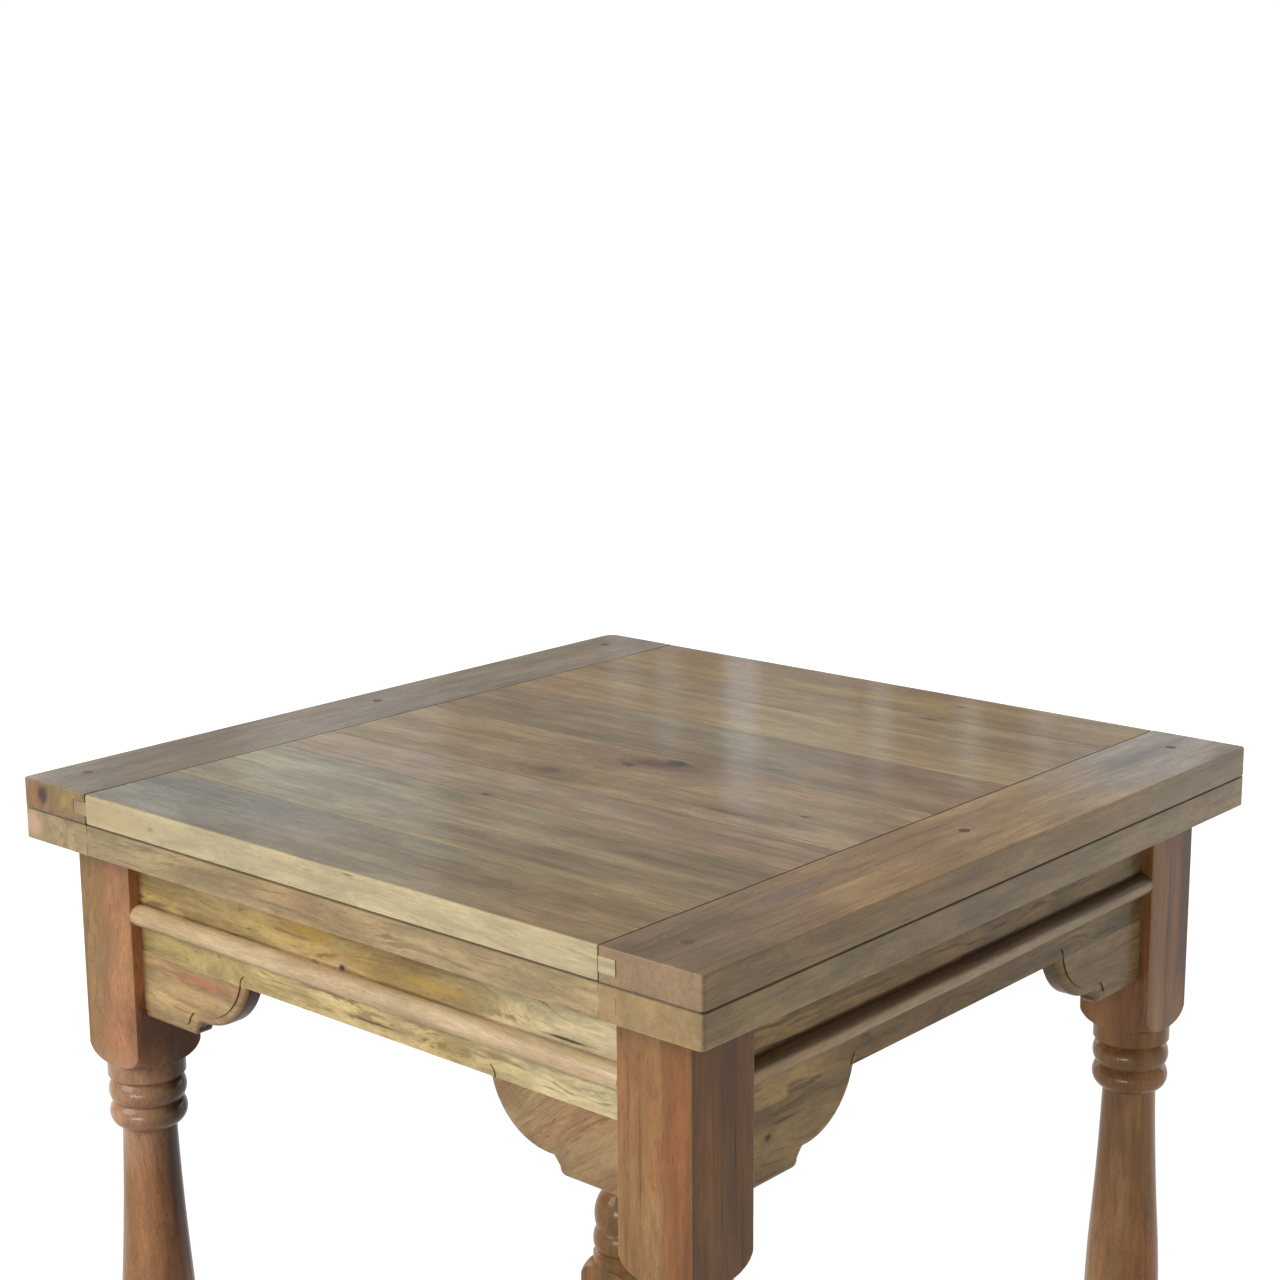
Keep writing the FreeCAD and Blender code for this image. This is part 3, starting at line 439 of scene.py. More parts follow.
class Effects:
    """The node groups that several materials share."""

    def __init__(self) -> None:
        """Build every group once."""
        self.figure = self._figure()
        self.knot = self._knot()
        self.arris = self._arris()
        self.satin = self._satin()
        self.scuffs = self._scuffs()

    @staticmethod
    def _figure() -> Tree:
        """Streaks, lines, fibres, pores and patches of a hardwood whose fibres run along x."""
        group = Effect("hardwood_figure", Vector=Kind.VECTOR, Seed=Kind.VALUE, Swirl=Kind.VALUE)
        vector, seed, swirl = group.inputs
        place = group.vector("ADD", vector, group.merge(seed * 3.17, seed * 7.31, seed * 5.13))
        bend = group.noise(place, (2.6, 8.0, 8.0), 3.0) - 0.5
        sway = group.noise(place, (7.0, 16.0, 16.0)) - 0.5
        shift = bend * swirl + sway * (swirl * 0.35)
        flow = group.vector("ADD", place, group.merge(0.0, shift, shift))
        return group.finished(
            Figure=group.noise(flow, (3.6, 28.0, 28.0), 5.0, 0.6),
            Lines=group.noise(flow, (7.0, 180.0, 180.0), 3.0, 0.6),
            Fibre=group.noise(flow, (55.0, 1050.0, 1050.0), 3.0, 0.65),
            Pores=group.rise(group.noise(flow, (150.0, 1150.0, 1150.0), 1.0), 0.60, 0.72),
            Patch=group.noise(flow, (4.5, 14.0, 14.0), 4.0, 0.6),
            Drift=group.noise(place, (2.2, 4.5, 4.5)),
            Mottle=group.noise(flow, (13.0, 42.0, 42.0), 4.0, 0.65),
        )

    @staticmethod
    def _knot() -> Tree:
        """A knot: its dark core, the halo round it, and the way the grain parts round it."""
        group = Effect("knot", Vector=Kind.VECTOR, Centre=Kind.VECTOR, Half_Length=Kind.VALUE, Half_Width=Kind.VALUE)
        vector, centre, length, width = group.inputs
        offset = group.vector("SUBTRACT", vector, centre)
        along, across = group.math("DIVIDE", 1.0, length), group.math("DIVIDE", 1.0, width)
        scaled = group.vector("MULTIPLY", offset, group.merge(along, across, across))
        wobble = group.noise(group.vector("ADD", scaled, centre), (0.9, 1.3, 1.3), 3.0, 0.6)
        distance = group.vector("LENGTH", scaled) * (wobble + 0.5)
        rings = group.math("SINE", distance * 8.0) * 0.3 + 0.7
        part = 1.0 - group.rise(distance, 3.6, 0.6) * 0.55
        return group.finished(
            Vector=group.vector("ADD", centre, group.vector("MULTIPLY", offset, group.merge(1.0, part, part))),
            Core=group.rise(distance, 1.05, 0.35),
            Halo=group.rise(distance, 3.2, 0.8) * rings,
        )

    @staticmethod
    def _arris() -> Tree:
        """How near a point of a squared piece is to one of its edges, where the finish rubs thin and, on the legs, a
        highlight is painted.

        The second smallest of the distances to the three pairs of faces is small only at an edge.
        """
        group = Effect("arris", Position=Kind.VECTOR, Low=Kind.VECTOR, High=Kind.VECTOR, Width=Kind.VALUE)
        position, low, high, width = group.inputs
        above, below = group.vector("SUBTRACT", position, low), group.vector("SUBTRACT", high, position)
        x, y, z = group.split(group.vector("MINIMUM", above, below))
        nearer, farther = group.math("MINIMUM", x, y), group.math("MAXIMUM", x, y)
        second = group.math("MAXIMUM", nearer, group.math("MINIMUM", farther, z))
        ragged = group.noise(position, (60.0, 60.0, 60.0), 3.0, 0.6) * 2.0
        return group.finished(Edge=group.rise(second, width * ragged, 0.0))

    @staticmethod
    def _satin() -> Tree:
        """Roughness and relief of satin lacquer over wood pores, slightly uneven from the brush."""
        group = Effect(
            "satin_lacquer", Position=Kind.VECTOR, Fibre=Kind.VALUE, Pores=Kind.VALUE, Roughness=Kind.VALUE
        )
        position, fibre, pores, roughness = group.inputs
        cloud = group.noise(position, (14.0, 14.0, 14.0), 4.0, 0.6) - 0.5
        wave = group.noise(position, (22.0, 22.0, 22.0), 1.0) * 1.4
        return group.finished(
            Roughness=roughness + cloud * 0.14 + pores * 0.10,
            Height=wave + ((fibre - 0.5) * 0.25 + pores * -0.5),
        )

    @staticmethod
    def _scuffs() -> Tree:
        """Cloudy tarnish and fine rubbed lines on metal."""
        group = Effect("scuffs", Position=Kind.VECTOR)
        (position,) = group.inputs
        cloud = group.noise(position, (70.0, 70.0, 70.0), 3.0, 0.6)
        return group.finished(
            Tarnish=group.rise(cloud, 0.42, 0.80), Rubbed=group.noise(position, (2600.0, 240.0, 2600.0))
        )


class Grain(Enum):
    """The way the fibres run in a piece, as the turn that lays them along x."""

    ALONG_X = (0.0, 0.0, 0.0)
    ALONG_Y = (0.0, 0.0, -QUARTER)
    ALONG_Z = (0.0, QUARTER, 0.0)
    SLANTED_X = (0.0, math.radians(38.0), 0.0)

    def turned(self, point: Point) -> Point:
        """Give a point of the table in this grain's own frame."""
        return tuple(Euler(self.value).to_matrix() @ Vector(point))


class Axis(Enum):
    """Axes of the table's frame."""

    X = 0
    Y = 1
    Z = 2


class Side(Enum):
    """Sides of the frame."""

    FRONT = ("front", Axis.Y, -1)
    RIGHT = ("right", Axis.X, 1)
    BACK = ("back", Axis.Y, 1)
    LEFT = ("left", Axis.X, -1)

    def __init__(self, label: str, axis: Axis, way: int) -> None:
        """Keep the name in the nodes' names, the axis that the side faces along, and which way it faces."""
        self.label, self.axis, self.way = label, axis, way

    @property
    def grain(self) -> Grain:
        """The way the fibres run in its rails."""
        return Grain.ALONG_X if self.axis is Axis.Y else Grain.ALONG_Y


# Finishes


@dataclass(frozen=True)
class Knot:
    """A knot, or with a great length a dark streak; the two broadest, on the front left leg, are painted shade.

    Attributes:
        middle: Its place in the table's frame.
        half_width: Half its width across the grain, in millimetres.
        half_length: Half its length along the grain, in millimetres.
        core: Colour of its core.
        depth: How strong it is.
        halo: How strong the darker grain round it is.
    """

    middle: Point
    half_width: float
    half_length: float
    core: Colour
    depth: float
    halo: float


@dataclass(frozen=True)
class Wash:
    """A change of colour across a piece, such as sapwood along an edge; some are painted light or shade.

    Attributes:
        axis: The axis that it changes along.
        start: Where it begins.
        end: Where it has its full strength.
        colour: The colour it turns to.
        share: Its full strength.
        ragged: How far the grain and patches push its border about.
        stop: Where it begins to end and where it has ended, if it does.
        keep: How much of the figure's lights and darks shows in it.
    """

    axis: Axis
    start: float
    end: float
    colour: Colour
    share: float
    ragged: float = 0.0
    stop: tuple[float, float] | None = None
    keep: float = 1.0


def band(
    axis: Axis, base: float, step: float, depths: Sequence[float], colour: Colour,
    share: float, ragged: float = 0.0, keep: float = 1.0,
) -> Wash:
    """A wash whose places are counted in steps from a base.

    Args:
        axis: The axis that it changes along.
        base: Where the steps are counted from.
        step: Length and way of one step.
        depths: Where it begins and is full and, for a band, where it begins to end and has ended.
        colour: The colour it turns to.
        share: Its full strength.
        ragged: How far its border is pushed about.
        keep: How much of the figure shows in it.

    Returns:
        The wash.
    """
    start, full, *stop = (base + step * depth for depth in depths)
    return Wash(axis, start, full, colour, share, ragged, tuple(stop) or None, keep)


def rim(way: int, colour: Colour, keep: float, share: float = 0.95) -> Wash:
    """The colour of the top's front (-1) or back (1) edge."""
    return Wash(Axis.Y, way * 0.3825, way * 0.3846, colour, share, 0.002, keep=keep)


@dataclass(frozen=True)
class Wood:
    """A hardwood under satin lacquer.

    Attributes:
        pale: Colour of the light grain.
        middle: Colour between the streaks.
        dark: Colour of the dark streaks.
        stain: Colour of the broad patches.
        stain_share: How strong the patches are.
        blush: Colour of the slow drift along the piece.
        blush_share: How strong the drift is.
        lines: How strong the fine dark lines are.
        mottle: How strong the small clouds are.
        swirl: How far the grain wanders, in metres.
        roughness: Roughness of the lacquer.
        coat: Weight of the gloss on top.
        shine: How much the lacquer itself reflects.
        wear_and_highlight: How much paler its arrises are: the finish rubbed thin and, on the legs, a painted
            highlight.
        washes: Changes of colour over the piece.
        knots: Knots and dark streaks, and on the front left leg two streaks of painted shade.
    """

    pale: Colour
    middle: Colour
    dark: Colour
    stain: Colour
    stain_share: float = 0.5
    blush: Colour = (150, 112, 84)
    blush_share: float = 0.35
    lines: float = 0.25
    mottle: float = 1.0
    swirl: float = 0.03
    roughness: float = 0.40
    coat: float = 0.25
    shine: float = 0.25
    wear_and_highlight: float = 0.225
    washes: tuple[Wash, ...] = ()
    knots: tuple[Knot, ...] = ()

    def washed(self, *washes: Wash) -> "Wood":
        """Give the same wood with more washes."""
        return replace(self, washes=(*self.washes, *washes))

    def material(self, node: str, effects: Effects, grain: Grain, seed: float, box: Box) -> Material:
        """Make the material of one piece.

        Args:
            node: The node that the piece stands for.
            effects: The shared node groups.
            grain: The way its fibres run.
            seed: A number that tells its figure from its neighbours'.
            box: Lowest and highest corner of the piece, for its paler arrises.

        Returns:
            The material.
        """
        graph = Finish(f"{node}_finish")
        turn = graph.add("ShaderNodeMapping")
        graph.put_all(turn, {"Rotation": grain.value, "Vector": graph.position})
        flow = Value(graph, turn.outputs[0])
        marks = []
        for knot in self.knots:
            sizes = {"Half_Length": knot.half_length * MM, "Half_Width": knot.half_width * MM}
            marks.append(graph.use(effects.knot, Vector=flow, Centre=grain.turned(knot.middle), **sizes))
            flow = marks[-1]["Vector"]
        figure = graph.use(effects.figure, Vector=flow, Seed=seed, Swirl=self.swirl)
        colour = self._wash_over(graph, self._figure_colour(graph, figure), figure)
        for knot, mark in zip(self.knots, marks):
            core = linear(knot.core)
            colour = graph.mix(mark["Halo"] * knot.halo, colour, graph.mix(HALO_TINT, colour, core))
            colour = graph.mix(mark["Core"] * knot.depth, colour, core)
        edge = graph.use(effects.arris, Position=graph.position, Low=box[0], High=box[1], Width=WEAR_AND_HIGHLIGHT_WIDTH)["Edge"]
        grained = {name: figure[name] for name in ("Fibre", "Pores")}
        satin = graph.use(effects.satin, Position=graph.position, Roughness=self.roughness, **grained)
        # Paler arrises: the finish rubbed thin and, on the legs, a painted highlight.
        graph.shade(
            Base_Color=graph.mix(edge * self.wear_and_highlight, colour, linear(self.pale)), Roughness=satin["Roughness"],
            Coat_Weight=self.coat, Coat_Roughness=COAT_ROUGHNESS, Specular_IOR_Level=self.shine,
        )
        graph.relief(satin["Height"], strength=0.35, depth=0.35 * MM)
        return graph.material

    def _figure_colour(self, graph: Finish, figure: dict[str, Value]) -> Value:
        """Colour of the plain figure: streaks, patches, fine lines and pores.

        Args:
            graph: The material's graph.
            figure: Outputs of the figure group.

        Returns:
            The colour.
        """
        streak = figure["Figure"] * 0.66 + figure["Lines"] * 0.22 + figure["Fibre"] * 0.12
        colour = graph.ramp(streak, ((0.34, self.pale), (0.50, self.middle), (0.68, self.dark)))
        colour = graph.mix(graph.rise(figure["Drift"], 0.42, 0.68) * self.blush_share, colour, linear(self.blush))
        colour = graph.mix(graph.rise(figure["Patch"], 0.48, 0.66) * self.stain_share, colour, linear(self.stain))
        lines = graph.rise(figure["Lines"], 0.53, 0.64) * graph.rise(figure["Mottle"], 0.36, 0.58)
        colour = graph.mix(lines * self.lines, colour, linear(self.dark), "MULTIPLY")
        cloud = graph.rise(figure["Mottle"], 0.30, 0.70, 1 - 0.20 * self.mottle, 1 + 0.20 * self.mottle)
        shade = cloud * graph.rise(figure["Fibre"], 0.28, 0.72, 0.81, 1.16)
        colour = graph.mix(1.0, colour, graph.merge(shade, shade, shade), "MULTIPLY")
        pores = figure["Pores"] * graph.rise(figure["Patch"], 0.35, 0.65, 0.12, 0.36)
        return graph.mix(pores, colour, linear(self.dark), "MULTIPLY")

    def _wash_over(self, graph: Finish, colour: Value, figure: dict[str, Value]) -> Value:
        """Lay the washes over a colour.

        Args:
            graph: The material's graph.
            colour: The colour so far.
            figure: Outputs of the figure group.

        Returns:
            The colour with the washes.
        """
        if not self.washes:
            return colour
        axes = graph.split(graph.position)
        brightness = float(np.array(LUMINANCE) @ np.array(linear(self.middle)[:3]))
        detail = graph.math("DIVIDE", graph.vector("DOT_PRODUCT", colour, LUMINANCE), brightness)
        shade = graph.merge(detail, detail, detail)
        push = (figure["Patch"] - 0.5) + (figure["Figure"] - 0.5)
        for wash in self.washes:
            place = axes[wash.axis.value] + push * wash.ragged
            mask = graph.rise(place, wash.start, wash.end, 0.0, wash.share)
            if wash.stop:
                mask = mask * graph.rise(place, *wash.stop, 1.0, 0.0)
            tint = linear(wash.colour)
            toned = graph.mix(wash.keep, tint, graph.mix(1.0, tint, shade, "MULTIPLY"))
            colour = graph.mix(mask, colour, toned)
        return colour


@dataclass(frozen=True)
class Metal:
    """Bare metal with tarnish and rubbed lines.

    Attributes:
        bright: Colour where it is clean.
        dull: Colour of the tarnish.
        roughness: Roughness where it is clean.
    """

    bright: Colour
    dull: Colour
    roughness: float

    def material(self, name: str, effects: Effects) -> Material:
        """Make the material, by its name, with the shared node groups."""
        graph = Finish(name)
        scuffs = graph.use(effects.scuffs, Position=graph.position)
        tarnish, rubbed = scuffs["Tarnish"], scuffs["Rubbed"]
        colour = graph.mix(tarnish, linear(self.bright), linear(self.dull))
        graph.shade(Base_Color=colour, Roughness=tarnish * 0.2 + self.roughness + rubbed * 0.1, Metallic=1.0)
        graph.relief(rubbed, strength=0.2, depth=0.05 * MM)
        return graph.material


@dataclass(frozen=True)
class Felt:
    """Thin pressed felt.

    Attributes:
        colour: Colour of the felt.
        fluff: Colour of its loose hairs.
    """

    colour: Colour
    fluff: Colour

    def material(self, name: str) -> Material:
        """Make the material, by its name."""
        graph = Finish(name)
        hairs = graph.noise(graph.position, (700.0, 700.0, 700.0), 4.0, 0.7)
        clumps = graph.noise(graph.position, (120.0, 120.0, 120.0), 3.0, 0.6)
        fuzz = hairs * 0.6 + clumps * 0.4
        colour = graph.mix(graph.rise(fuzz, 0.4, 0.65), linear(self.colour), linear(self.fluff))
        graph.shade(Base_Color=colour, Roughness=0.95, Sheen_Weight=0.4)
        graph.relief(fuzz, strength=0.6, depth=0.3 * MM)
        return graph.material


def dress(piece: Piece, material: Material) -> None:
    """Give a piece or CAD node one material in place of what it has."""
    piece.data.materials.clear()
    piece.data.materials.append(material)
    log.info("%s wears %s", piece.name, material.name)


def corners_of(node: str) -> Box:
    """Lowest and highest corner of a CAD node."""
    low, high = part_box(node)
    return tuple(low), tuple(high)


CREAM = (196, 180, 140)
SAP = (188, 170, 116)
# Dark of the joints between planks and boards, and the painted shade in the seam between the two leaves.
JOINT_DIRT_AND_SEAM_SHADE = (58, 44, 30)
# Painted shade in the step round a bracket's face.
STEP_SHADE = (70, 50, 36)
# Painted shade on the cut edge of a bracket's scallop.
CUT_EDGE_SHADE = (64, 40, 22)

# From the front edge to the back.
TOP_PLANKS = (
    Wood(
        (160, 148, 118), (140, 126, 98), (112, 98, 74), (130, 126, 110), 0.5, (150, 126, 88),
        washes=(
            Wash(Axis.X, 0.02, -0.22, (141, 142, 137), 0.68, 0.12),
            Wash(Axis.X, 0.02, 0.24, (156, 126, 84), 0.7, 0.12),
            Wash(Axis.Y, -0.2925, -0.2895, SAP, 0.35, 0.006),
            rim(-1, CREAM, 0.8, 0.92),
        ),
        knots=(
            Knot((-0.207, -0.385, 0.766), 2.4, 4.5, (112, 86, 54), 0.8, 0.4),
            Knot((0.035, -0.385, 0.7775), 1.2, 8.0, (116, 94, 62), 0.7, 0.3),
            Knot((-0.255, -0.385, 0.7665), 18.0, 80.0, (170, 150, 108), 0.7, 0.1),
        ),
    ),
    Wood(
        (180, 166, 130), (158, 142, 110), (126, 110, 82), (150, 142, 118), 0.45, (150, 126, 94),
        washes=(
            Wash(Axis.X, 0.05, -0.25, (168, 163, 142), 0.5, 0.15),
            Wash(Axis.X, 0.02, 0.26, (136, 112, 78), 0.65, 0.12),
            Wash(Axis.Y, -0.270, -0.288, SAP, 0.3, 0.02),
        ),
        knots=(
            Knot((0.200, -0.212, 0.780), 6.0, 60.0, (98, 84, 66), 0.55, 0.4),
            Knot((0.130, -0.250, 0.780), 4.0, 40.0, (104, 88, 68), 0.45, 0.3),
        ),
    ),
    Wood(
        (178, 159, 129), (159, 139, 112), (126, 106, 83), (166, 135, 105), 0.5, (161, 131, 102),
        washes=(Wash(Axis.X, 0.02, 0.22, (166, 128, 92), 0.5, 0.15),),
        knots=(Knot((-0.034, -0.166, 0.780), 2.4, 6.0, (66, 44, 38), 0.95, 0.6),),
    ),
    Wood(
        (180, 160, 122), (160, 138, 102), (122, 100, 72), (150, 118, 90), 0.45, (158, 122, 90), swirl=0.05,
        knots=(
            Knot((0.012, 0.000, 0.780), 17.0, 36.0, (96, 66, 48), 0.8, 0.7),
            Knot((0.028, 0.006, 0.780), 6.5, 15.0, (52, 34, 30), 0.95, 0.4),
            Knot((-0.005, -0.008, 0.780), 4.0, 10.0, (64, 42, 34), 0.8, 0.4),
            Knot((-0.046, -0.075, 0.780), 12.0, 20.0, (96, 70, 50), 0.7, 0.6),
            Knot((0.160, -0.077, 0.780), 4.5, 38.0, (88, 66, 48), 0.7, 0.5),
            Knot((0.214, -0.047, 0.780), 3.2, 6.0, (66, 44, 34), 0.85, 0.6),
        ),
    ),
    Wood(
        (164, 149, 116), (143, 125, 94), (114, 95, 68), (140, 112, 84), 0.45,
        washes=(Wash(Axis.X, 0.10, 0.26, (160, 114, 76), 0.35, 0.12),),
        knots=(
            Knot((0.107, 0.051, 0.780), 2.6, 12.0, (84, 60, 46), 0.7, 0.5),
            Knot((-0.230, 0.075, 0.780), 5.0, 30.0, (112, 94, 76), 0.6, 0.4),
            Knot((-0.020, 0.094, 0.780), 2.0, 5.0, (128, 74, 50), 0.8, 0.5),
        ),
    ),
    Wood(
        (184, 162, 114), (166, 142, 98), (132, 108, 74), (158, 120, 80), 0.4,
        washes=(Wash(Axis.Y, 0.145, 0.138, SAP, 0.2, 0.008),),
    ),
    Wood(
        (174, 152, 102), (152, 128, 84), (118, 96, 62), (146, 108, 68), 0.45,
        knots=(Knot((0.108, 0.288, 0.780), 4.0, 13.0, (76, 48, 34), 0.85, 0.7),),
    ),
    Wood(
        (176, 152, 94), (154, 128, 74), (118, 94, 54), (150, 106, 60), 0.45,
        washes=(rim(1, CREAM, 0.8, 0.7),),
        knots=(Knot((0.105, 0.347, 0.780), 2.6, 7.0, (66, 44, 34), 0.85, 0.6),),
    ),
)

LOWER_FRONT = Wood(
    (190, 168, 124), (168, 145, 102), (134, 110, 72), (158, 122, 80), 0.45, (164, 134, 88),
    lines=0.5, mottle=1.3, swirl=0.05,
    washes=(
        Wash(Axis.X, -0.04, -0.27, (143, 126, 87), 0.75, 0.15),
        Wash(Axis.X, 0.00, 0.25, (186, 163, 120), 0.5, 0.15),
    ),
)
LOWER_TONES = (
    ((182, 158, 120), (156, 133, 98), (122, 100, 70), (150, 114, 82)),
    ((168, 152, 118), (144, 127, 97), (112, 96, 70), (132, 116, 92)),
    ((186, 159, 115), (161, 135, 95), (126, 101, 68), (152, 114, 79)),
    ((174, 158, 126), (150, 133, 105), (118, 103, 79), (146, 136, 112)),
    ((188, 166, 120), (164, 140, 96), (128, 104, 70), (156, 120, 80)),
)
LOWER_PLANKS = (
    LOWER_FRONT,
    *(
        replace(LOWER_FRONT, pale=pale, middle=middle, dark=dark, stain=stain, washes=())
        for pale, middle, dark, stain in LOWER_TONES
    ),
)

UPPER_BOARD_LEFT = Wood(
    (164, 153, 130), (147, 134, 113), (116, 101, 82), (138, 130, 114), 0.5, (146, 120, 98), 0.5,
    washes=(
        Wash(Axis.Y, -0.12, -0.34, (128, 116, 98), 0.6, 0.08),
        rim(-1, (134, 108, 62), 0.9),
        rim(1, (150, 126, 84), 0.8),
    ),
    knots=(
        Knot((-0.326, -0.385, 0.769), 8.0, 8.0, (170, 142, 66), 0.45, 0.2),
        Knot((-0.366, -0.385, 0.768), 14.0, 10.0, (156, 96, 42), 0.7, 0.2),
        Knot((-0.349, -0.385, 0.762), 4.0, 5.0, (150, 84, 44), 0.7, 0.3),
        Knot((-0.3615, -0.385, 0.768), 5.6, 5.0, (50, 20, 6), 0.97, 0.5),
    ),
)
UPPER_BOARD_RIGHT = Wood(
    (182, 153, 108), (164, 133, 90), (126, 98, 66), (134, 110, 88), 0.45, (170, 128, 82),
    washes=(
        Wash(Axis.Y, -0.14, -0.34, (106, 88, 72), 0.72, 0.10),
        Wash(Axis.Y, 0.10, 0.30, (164, 160, 152), 0.65, 0.10),
        Wash(Axis.X, 0.3828, 0.3846, (158, 132, 90), 0.65, 0.002),
        rim(-1, (148, 122, 90), 0.6),
        rim(1, (156, 130, 94), 0.8),
    ),
    knots=(
        Knot((0.325, -0.214, 0.780), 7.0, 40.0, (112, 98, 98), 0.55, 0.4),
        Knot((0.385, -0.060, 0.768), 5.0, 60.0, (110, 88, 60), 0.5, 0.4),
    ),
)
LOWER_BOARD = Wood((172, 151, 110), (150, 129, 90), (116, 97, 66), (134, 117, 86), mottle=1.4)
LOWER_BOARD_BACK = rim(1, (164, 138, 98), 0.8)
LOWER_BOARD_LEFT = replace(
    LOWER_BOARD,
    washes=(rim(-1, (150, 128, 90), 0.9), LOWER_BOARD_BACK),
    knots=(Knot((-0.374, -0.385, 0.739), 15.0, 26.0, (192, 156, 124), 0.75, 0.1),),
)
LOWER_BOARD_RIGHT = LOWER_BOARD.washed(
    Wash(Axis.Y, -0.18, -0.34, (184, 158, 106), 0.6, 0.08), rim(-1, (160, 132, 88), 0.5), LOWER_BOARD_BACK
)

# The legs' paler arrises: the finish rubbed thin at the feet, and a painted highlight along the upright corners.
LEG = Wood(
    (168, 130, 86), (144, 106, 64), (108, 78, 46), (154, 98, 60), 0.55, (134, 106, 62), 0.55,
    lines=0.2, mottle=0.9, swirl=0.04, roughness=0.36, coat=0.22, shine=0.12, wear_and_highlight=0.6,
)
LEGS = {
    "front_right": replace(
        LEG,
        washes=(
            Wash(Axis.X, 0.312, 0.334, (134, 82, 44), 0.7, 0.03),
            Wash(Axis.X, 0.3492, 0.3506, (124, 86, 46), 0.8),
        ),
        knots=(
            Knot((0.351, -0.308, 0.622), 0.9, 32, (46, 32, 24), 0.85, 0.3),
            Knot((0.351, -0.323, 0.577), 0.7, 26, (50, 34, 26), 0.75, 0.3),
            Knot((0.351, -0.300, 0.540), 0.8, 40, (56, 38, 28), 0.6, 0.3),
            Knot((0.303, -0.356, 0.615), 1.6, 70, (88, 64, 34), 0.5, 0.4),
            Knot((0.292, -0.356, 0.660), 1.4, 40, (92, 68, 38), 0.45, 0.3),
        ),
    ),
    "back_right": replace(
        LEG, pale=(186, 144, 98), middle=(167, 124, 80), dark=(126, 90, 56), stain=(172, 112, 68), blush=(158, 122, 78),
        washes=(
            Wash(Axis.Z, 0.52, 0.57, (152, 98, 54), 0.65, 0.03),
            # Painted light: the leg's front face, in the shade of the top, is made paler.
            Wash(Axis.Y, 0.2876, 0.2864, (196, 136, 86), 0.55),
        ),
        knots=(
            Knot((0.351, 0.349, 0.650), 18, 140, (92, 64, 46), 0.85, 0.1),
            Knot((0.351, 0.330, 0.640), 2.4, 70, (76, 48, 30), 0.6, 0.5),
        ),
    ),
    "back_left": LEG,
    "front_left": replace(
        LEG,
        washes=(
            Wash(Axis.X, -0.334, -0.302, (168, 112, 74), 0.6, 0.03),
            # Painted light: the leg's inner face, in the shade of the top, is made paler.
            Wash(Axis.X, -0.2825, -0.2812, (190, 128, 86), 0.8),
            # Painted sheen: the rings of the turning are made paler and greyer.
            Wash(Axis.Z, 0.545, 0.515, (172, 136, 106), 0.6, 0.01, (0.455, 0.40)),
        ),
        knots=(
            # Painted shade: these two broad dark streaks darken the leg's right side and the low part of its block's
            # inner face, away from the key lamp.
            Knot((-0.286, -0.302, 0.455), 36, 210, (44, 28, 16), 0.9, 0.0),
            Knot((-0.281, -0.316, 0.562), 32, 50, (80, 48, 28), 0.8, 0.0),
        ),
    ),
}
APRON_FRONT = Wood(
    (204, 188, 142), (174, 152, 98), (126, 96, 54), (178, 148, 64), 0.6, (176, 124, 72), 0.4,
    lines=0.6, mottle=1.5, swirl=0.09, coat=0.12, shine=0.15,
    washes=(
        Wash(Axis.X, -0.02, -0.26, (144, 115, 62), 0.7, 0.15),
        Wash(Axis.X, 0.06, 0.24, (220, 207, 168), 0.7, 0.15),
        Wash(Axis.Z, 0.660, 0.650, (190, 174, 124), 0.35, 0.02),
        # Painted shade: a dark band in the crease just above the bead.
        Wash(Axis.Z, 0.6790, 0.6765, (96, 70, 38), 0.6, 0.0015, (0.6740, 0.6735)),
    ),
    knots=(
        Knot((-0.020, -0.345, 0.6785), 3.4, 4.4, (54, 32, 28), 0.97, 0.6),
        Knot((0.224, -0.345, 0.681), 1.7, 27.0, (56, 38, 28), 0.95, 0.4),
        Knot((0.017, -0.345, 0.641), 1.5, 36.0, (84, 58, 38), 0.85, 0.4),
        Knot((-0.060, -0.345, 0.700), 7.0, 34.0, (184, 144, 50), 0.6, 0.3),
        Knot((0.090, -0.345, 0.688), 5.0, 50.0, (186, 150, 58), 0.5, 0.3),
        Knot((-0.215, -0.345, 0.643), 5.0, 46.0, (176, 160, 92), 0.6, 0.3),
    ),
)
APRON_SIDE = Wood(
    (174, 147, 101), (143, 117, 76), (98, 78, 48), (86, 76, 58), 0.65, (162, 126, 78),
    lines=0.6, mottle=1.5, swirl=0.09, coat=0.12, shine=0.15,
    washes=(
        Wash(Axis.Y, -0.12, -0.26, (196, 166, 112), 0.6, 0.10),
        Wash(Axis.Y, 0.12, 0.27, (162, 144, 86), 0.5, 0.12),
        # Painted shade: a dark band in the crease just above the bead.
        Wash(Axis.Z, 0.6800, 0.6770, (48, 32, 18), 0.8, 0.0015, (0.6740, 0.6735)),
    ),
    knots=(
        Knot((0.340, 0.040, 0.697), 6.0, 40, (92, 78, 58), 0.55, 0.4),
        Knot((0.340, 0.150, 0.640), 4.0, 40, (84, 76, 64), 0.6, 0.4),
        Knot((0.340, -0.120, 0.644), 4.0, 40, (96, 80, 56), 0.5, 0.4),
    ),
)
BEAD = Wood(
    (216, 194, 156), (201, 177, 140), (176, 148, 110), (202, 170, 134), 0.4, (198, 172, 136), 0.3,
    lines=0.12, mottle=0.7, coat=0.15, shine=0.18,
    washes=(Wash(Axis.X, -0.08, -0.27, (184, 152, 108), 0.5, 0.10),),
)
